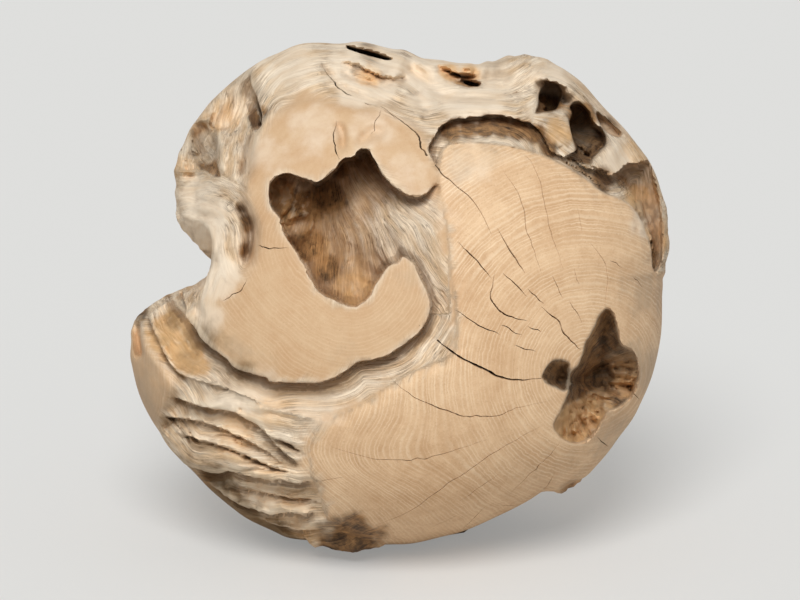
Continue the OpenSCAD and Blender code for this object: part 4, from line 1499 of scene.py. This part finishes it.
def grown_colour(t, mask, grain, torn):
    """Colour of the grown wood: streaks, grooves between the fibres and splits, with painted shade
    where it lies deep.
    """
    streaks = t.step(grain["Streak"], 0.32, 0.68)
    grown = t.mix(streaks, tone("grown"), tone("grown streak"))
    lines = t.times(t.times(grain["Tone"], torn), 0.6, clamp=True)
    grown = t.mix(lines, grown, tone("groove"))
    grown = t.mix(t.times(grain["Split"], t.times(torn, 0.6)), grown, tone("split"))
    # Painted shade: the grown wood turns darker brown where it lies 12 to 30 below the envelope.
    return t.mix(t.step(mask["depth"], 12.0, 30.0, 0.0, 0.6), grown, tone("deep"))


def weathered_colour_with_painted_shade(t, mask, place, colour, rot, look):
    """The wood's colour under its stains, its rot, painted shade in its recesses and its cracks."""
    weather = weathering_group()
    # The pale stain is bleached wood and in a few patches painted light; the olive one is an olive
    # tone and painted shade together.
    stains = (("pale", list(look.bleached_wood) + [1], 30.0, 0.6),
              ("yellow", tone("yellow"), 60.0, 0.75),
              ("grey", tone("grey"), 34.0, 0.55),
              ("olive_and_painted_shade", tone("olive_and_painted_shade"), 26.0, 0.85))
    for name, stain, size, strength in stains:
        colour = use_group(t, weather, Color=colour, Stain=stain, Mask=mask[name], Place=place,
                           Patch_Size=size, Strength=strength)["Color"]
    fresh = t.step(t.math("MAXIMUM", mask["yellow"], mask["grey"]), 0.2, 0.9, 1.0, 0.15)
    decay = t.times(t.math("MAXIMUM", mask["bark"], t.times(mask["hollow"], 0.75)), fresh)
    colour = use_group(t, weather, Color=colour, Stain=rot["Color"], Mask=decay, Place=place,
                       Patch_Size=70.0, Strength=0.95, Raggedness=0.45)["Color"]
    # Painted shade: concave creases are darkened, less so in the hollows.
    painted_recess_shade = t.times(t.step(mask["cavity"], 0.2, 1.0, 0.0, 0.5),
                     t.step(mask["hollow"], 0.0, 1.0, 1.0, 0.4))
    colour = t.mix(painted_recess_shade, colour, tone("painted_recess_shade"))
    colour = t.mix(t.step(mask["cavity"], -0.15, -1.0, 0.0, 0.4), colour, tone("worn edge"))
    return t.mix(t.times(mask["crack"], 0.85), colour, tone("crack"))


def wood_height(t, mask, rings, grain, rot, torn):
    """Fine relief of the wood for its bump."""
    crumbly = t.math("MAXIMUM", mask["hollow"], t.times(mask["yellow"], 0.8))
    grown = t.plus(t.times(grain["Height"], torn), t.times(rot["Height"], crumbly))
    sanded = t.times(rings["Speck"], 0.12)
    return t.plus(t.times(grown, t.minus(1.0, mask["sanded"])), t.times(sanded, mask["sanded"]))


def root_wood_material(look):
    """Sanded end grain, grown fibrous wood and rotted hollows in one finish."""
    material = bpy.data.materials.new("bleached_root_wood")
    material.use_nodes = True
    material.node_tree.nodes.clear()
    t = Tree(material.node_tree)
    mask = {name: t.node("ShaderNodeAttribute", attribute_name=name).outputs["Fac"]
            for name in SURFACE_MARKS}
    place = t.node("ShaderNodeTexCoord").outputs["Object"]
    rings = use_group(t, growth_rings_group(), Phase=mask["rings"], Place=place,
                      Spacing=look.ring_spacing, Waviness=0.8)
    grain = use_group(t, fibre_grain_group(), Across=mask["across"], Place=place,
                      Fibre_Width=1.7, Stretch=14.0)
    rot = use_group(t, rotted_wood_group(), Place=place, Dark=tone("rot"), Light=tone("rot fibre"),
                    Grain=t.plus(grain["Height"], t.times(mask["yellow"], 1.1)))
    torn = t.minus(1.0, t.times(t.step(mask["pale"], 0.1, 0.7), 0.65))
    colour = t.mix(mask["sanded"], grown_colour(t, mask, grain, torn),
                   sanded_colour(t, mask, rings, look))

    finish = t.node("ShaderNodeBsdfPrincipled")
    t.put(finish.inputs["Base Color"], weathered_colour_with_painted_shade(t, mask, place, colour, rot, look))
    t.put(finish.inputs["Roughness"], t.step(mask["sanded"], 0.0, 1.0, 0.85, 0.6))
    finish.inputs["Specular IOR Level"].default_value = 0.3
    bump = t.node("ShaderNodeBump")
    bump.inputs["Strength"].default_value = 0.6
    bump.inputs["Distance"].default_value = 0.0028
    t.put(bump.inputs["Height"], wood_height(t, mask, rings, grain, rot, torn))
    t.put(finish.inputs["Normal"], bump.outputs["Normal"])
    t.put(t.node("ShaderNodeOutputMaterial").inputs["Surface"], finish.outputs["BSDF"])
    return material


def floor_material(seen, lit, glow):
    """Even, matt floor, paler to the eye than the light it throws back."""
    material = bpy.data.materials.new("studio_floor")
    material.use_nodes = True
    t = Tree(material.node_tree)
    shader = material.node_tree.nodes["Principled BSDF"]
    eye = t.node("ShaderNodeLightPath").outputs["Is Camera Ray"]
    t.put(shader.inputs["Base Color"], t.mix(eye, list(lit) + [1], list(seen) + [1]))
    shader.inputs["Emission Color"].default_value = (1, 1, 0.98, 1)
    t.put(shader.inputs["Emission Strength"], t.times(eye, glow))
    shader.inputs["Roughness"].default_value = 0.9
    shader.inputs["Specular IOR Level"].default_value = 0.1
    return material


# -------------------------------------------------------------- sizes and looks

def colour_setting(name, description, default):
    """Colour that a user may change."""
    return bpy.props.FloatVectorProperty(name=name, description=description, subtype="COLOR",
                                         size=3, default=default[:3], min=0, max=1)


class RootBallSizes(bpy.types.PropertyGroup):
    """Sizes of the carved ball"""
    net_step: bpy.props.FloatProperty(
        name="Net Step", description="Spacing of the ball's surface net, in percent of its radius",
        default=0.8, min=0.7, max=3.0)
    face_count: bpy.props.IntProperty(
        name="Triangles", description="Triangles kept before the cracks are cut",
        default=175000, min=20000, max=185000)
    crack_share: bpy.props.FloatProperty(
        name="Crack Width", description="Width of the drying cracks for each of their drawn widths",
        default=1.0, min=0.5, max=2.0)


class RootBallLook(bpy.types.PropertyGroup):
    """Colours and grain of the wood"""
    ring_spacing: bpy.props.FloatProperty(
        name="Ring Spacing", description="Distance between growth rings, in millimetres",
        default=4.7, min=2.0, max=9.0)
    sanded_wood: colour_setting(
        "Sanded Wood", "Pale wood of the sanded faces", linear((232, 199, 160)))
    late_wood: colour_setting(
        "Late Wood", "Darker lines of the growth rings", linear((190, 148, 106)))
    bleached_wood: colour_setting(
        "Bleached Wood", "Pale weathered skin of the grown surfaces", linear((238, 221, 198)))


class RootBallStage(bpy.types.PropertyGroup):
    """Floor, light and camera"""
    floor_colour: colour_setting("Floor", "Colour of the studio floor", (0.5, 0.5, 0.49))
    floor_glow: colour_setting(
        "Floor Glow", "Light that the floor throws back on the ball", (0.62, 0.6, 0.57))
    floor_lift: bpy.props.FloatProperty(
        name="Floor Lift", default=0.265, min=0, max=1,
        description="Brightness added to the floor as it is seen, which softens the shadow")
    floor_reach: bpy.props.FloatProperty(
        name="Floor Reach", description="Distance from the floor's middle to its edges",
        default=30.0, unit="LENGTH")
    key_light: bpy.props.FloatProperty(
        name="Key Light", description="Strength of the soft light from above the front",
        default=2.6, min=0, max=10)
    key_tilt: bpy.props.FloatProperty(
        name="Key Tilt", default=math.radians(46), subtype="ANGLE",
        description="Lean of the soft light from straight above towards the viewer")
    key_turn: bpy.props.FloatProperty(
        name="Key Turn", description="Lean of the soft light to the side",
        default=math.radians(-6), subtype="ANGLE")
    key_softness: bpy.props.FloatProperty(
        name="Key Softness", description="Angle that the soft light's source fills",
        default=math.radians(28), subtype="ANGLE")
    room_light: bpy.props.FloatProperty(
        name="Room Light", description="Strength of the even light all round",
        default=0.37, min=0, max=3)
    camera_distance: bpy.props.FloatProperty(
        name="Camera Distance", description="Distance of the camera from the ball",
        default=8.0, unit="LENGTH")
    frame_width: bpy.props.FloatProperty(
        name="Frame Width", description="Width of the view at the ball", default=1.0, unit="LENGTH")


# ------------------------------------------------------------------------ stage

def lay_floor(stage):
    """Wide plain floor under the ball."""
    reach, ground = stage.floor_reach, BALL_LOW.z
    corners = [(-reach, -reach, ground), (reach, -reach, ground), (reach, reach, ground),
               (-reach, reach, ground)]
    mesh = make_mesh("studio_floor", np.array(corners), [(0, 1, 2, 3)])
    mesh.materials.append(floor_material(stage.floor_colour, stage.floor_glow, stage.floor_lift))
    new_object("studio_floor", mesh)


def hang_light(stage):
    """Soft light from above the front."""
    light = bpy.data.lights.new("key_light", "SUN")
    light.energy = stage.key_light
    light.angle = stage.key_softness
    new_object("key_light", light).rotation_euler = (stage.key_tilt, stage.key_turn, 0)


def light_room(stage):
    """Even white light all round."""
    world = bpy.data.worlds.new("studio")
    world.use_nodes = True
    background = world.node_tree.nodes["Background"]
    background.inputs["Color"].default_value = (1, 1, 1, 1)
    background.inputs["Strength"].default_value = stage.room_light
    bpy.context.scene.world = world


def set_camera(stage):
    """Camera square on to the leaning face."""
    camera = bpy.data.cameras.new("camera")
    camera.sensor_width = 36.0
    camera.lens = camera.sensor_width * stage.camera_distance / stage.frame_width
    camera.clip_end = 100.0
    view = new_object("camera", camera)
    middle = np.array([0.0, 0.0, BALL_LOW.z + SEAT * UNIT])
    view.location = middle + stage.camera_distance * np.array([0, -math.cos(LEAN), math.sin(LEAN)])
    view.rotation_euler = (math.pi / 2 - LEAN, 0, 0)
    bpy.context.scene.camera = view


# -------------------------------------------------------------------- operators

class ROOTBALL_OT_add_ball(bpy.types.Operator):
    """Carve the ball from its envelope and give it its wood"""
    bl_idname = "rootball.add_ball"
    bl_label = "Add Root Ball"

    def execute(self, context):
        sizes = context.scene.root_ball_sizes
        charts = carve_face()
        points, quads = grow_surface(charts, sizes.net_step)
        world = to_world(points)
        low, high = world.min(axis=0), world.max(axis=0)
        box_low, box_high = np.array(BALL_LOW), np.array(BALL_HIGH)
        share = (box_high - box_low) / (high - low)

        def draw(q):
            return (to_world(q) - low) * share + box_low

        def undraw(place):
            return to_percent((place - box_low) / share + low)

        ball = new_object("root_ball_wood", make_mesh("root_ball_wood", draw(points), quads))
        thin_out(ball, points, sizes.face_count / (2.0 * len(quads)))
        cut_cracks(ball, charts, sizes.crack_share, draw)
        mark_surface(ball.data, charts, undraw)
        ball.data.shade_smooth()
        ball.data.set_sharp_from_angle(angle=math.radians(48))
        ball.data.materials.clear()
        ball.data.materials.append(root_wood_material(context.scene.root_ball_look))
        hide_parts("root_ball")
        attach(ball, "root")
        return {"FINISHED"}


class ROOTBALL_OT_add_stage(bpy.types.Operator):
    """Lay the pale floor and set the soft light and the camera"""
    bl_idname = "rootball.add_stage"
    bl_label = "Add Stage"

    def execute(self, context):
        stage = context.scene.root_ball_stage
        lay_floor(stage)
        hang_light(stage)
        light_room(stage)
        set_camera(stage)
        context.scene.view_settings.view_transform = "Standard"
        return {"FINISHED"}


class ROOTBALL_PT_panel(bpy.types.Panel):
    """Builds the ball and its stage"""
    bl_idname = "ROOTBALL_PT_panel"
    bl_label = "Root Ball"
    bl_space_type = "VIEW_3D"
    bl_region_type = "UI"
    bl_category = "Root Ball"

    def draw(self, context):
        for setting in SETTINGS:
            group = getattr(context.scene, setting)
            for name in group.__annotations__:
                self.layout.prop(group, name)
        self.layout.operator("rootball.add_ball")
        self.layout.operator("rootball.add_stage")


SETTINGS = {"root_ball_sizes": RootBallSizes, "root_ball_look": RootBallLook,
            "root_ball_stage": RootBallStage}
CLASSES = (*SETTINGS.values(), ROOTBALL_OT_add_ball, ROOTBALL_OT_add_stage, ROOTBALL_PT_panel)


def register():
    for item in CLASSES:
        bpy.utils.register_class(item)
    for name, group in SETTINGS.items():
        setattr(bpy.types.Scene, name, bpy.props.PointerProperty(type=group))


def unregister():
    for name in SETTINGS:
        delattr(bpy.types.Scene, name)
    for item in reversed(CLASSES):
        bpy.utils.unregister_class(item)


def main():
    register()
    bpy.ops.rootball.add_stage()
    bpy.ops.rootball.add_ball()


if __name__ == "__main__":
    main()
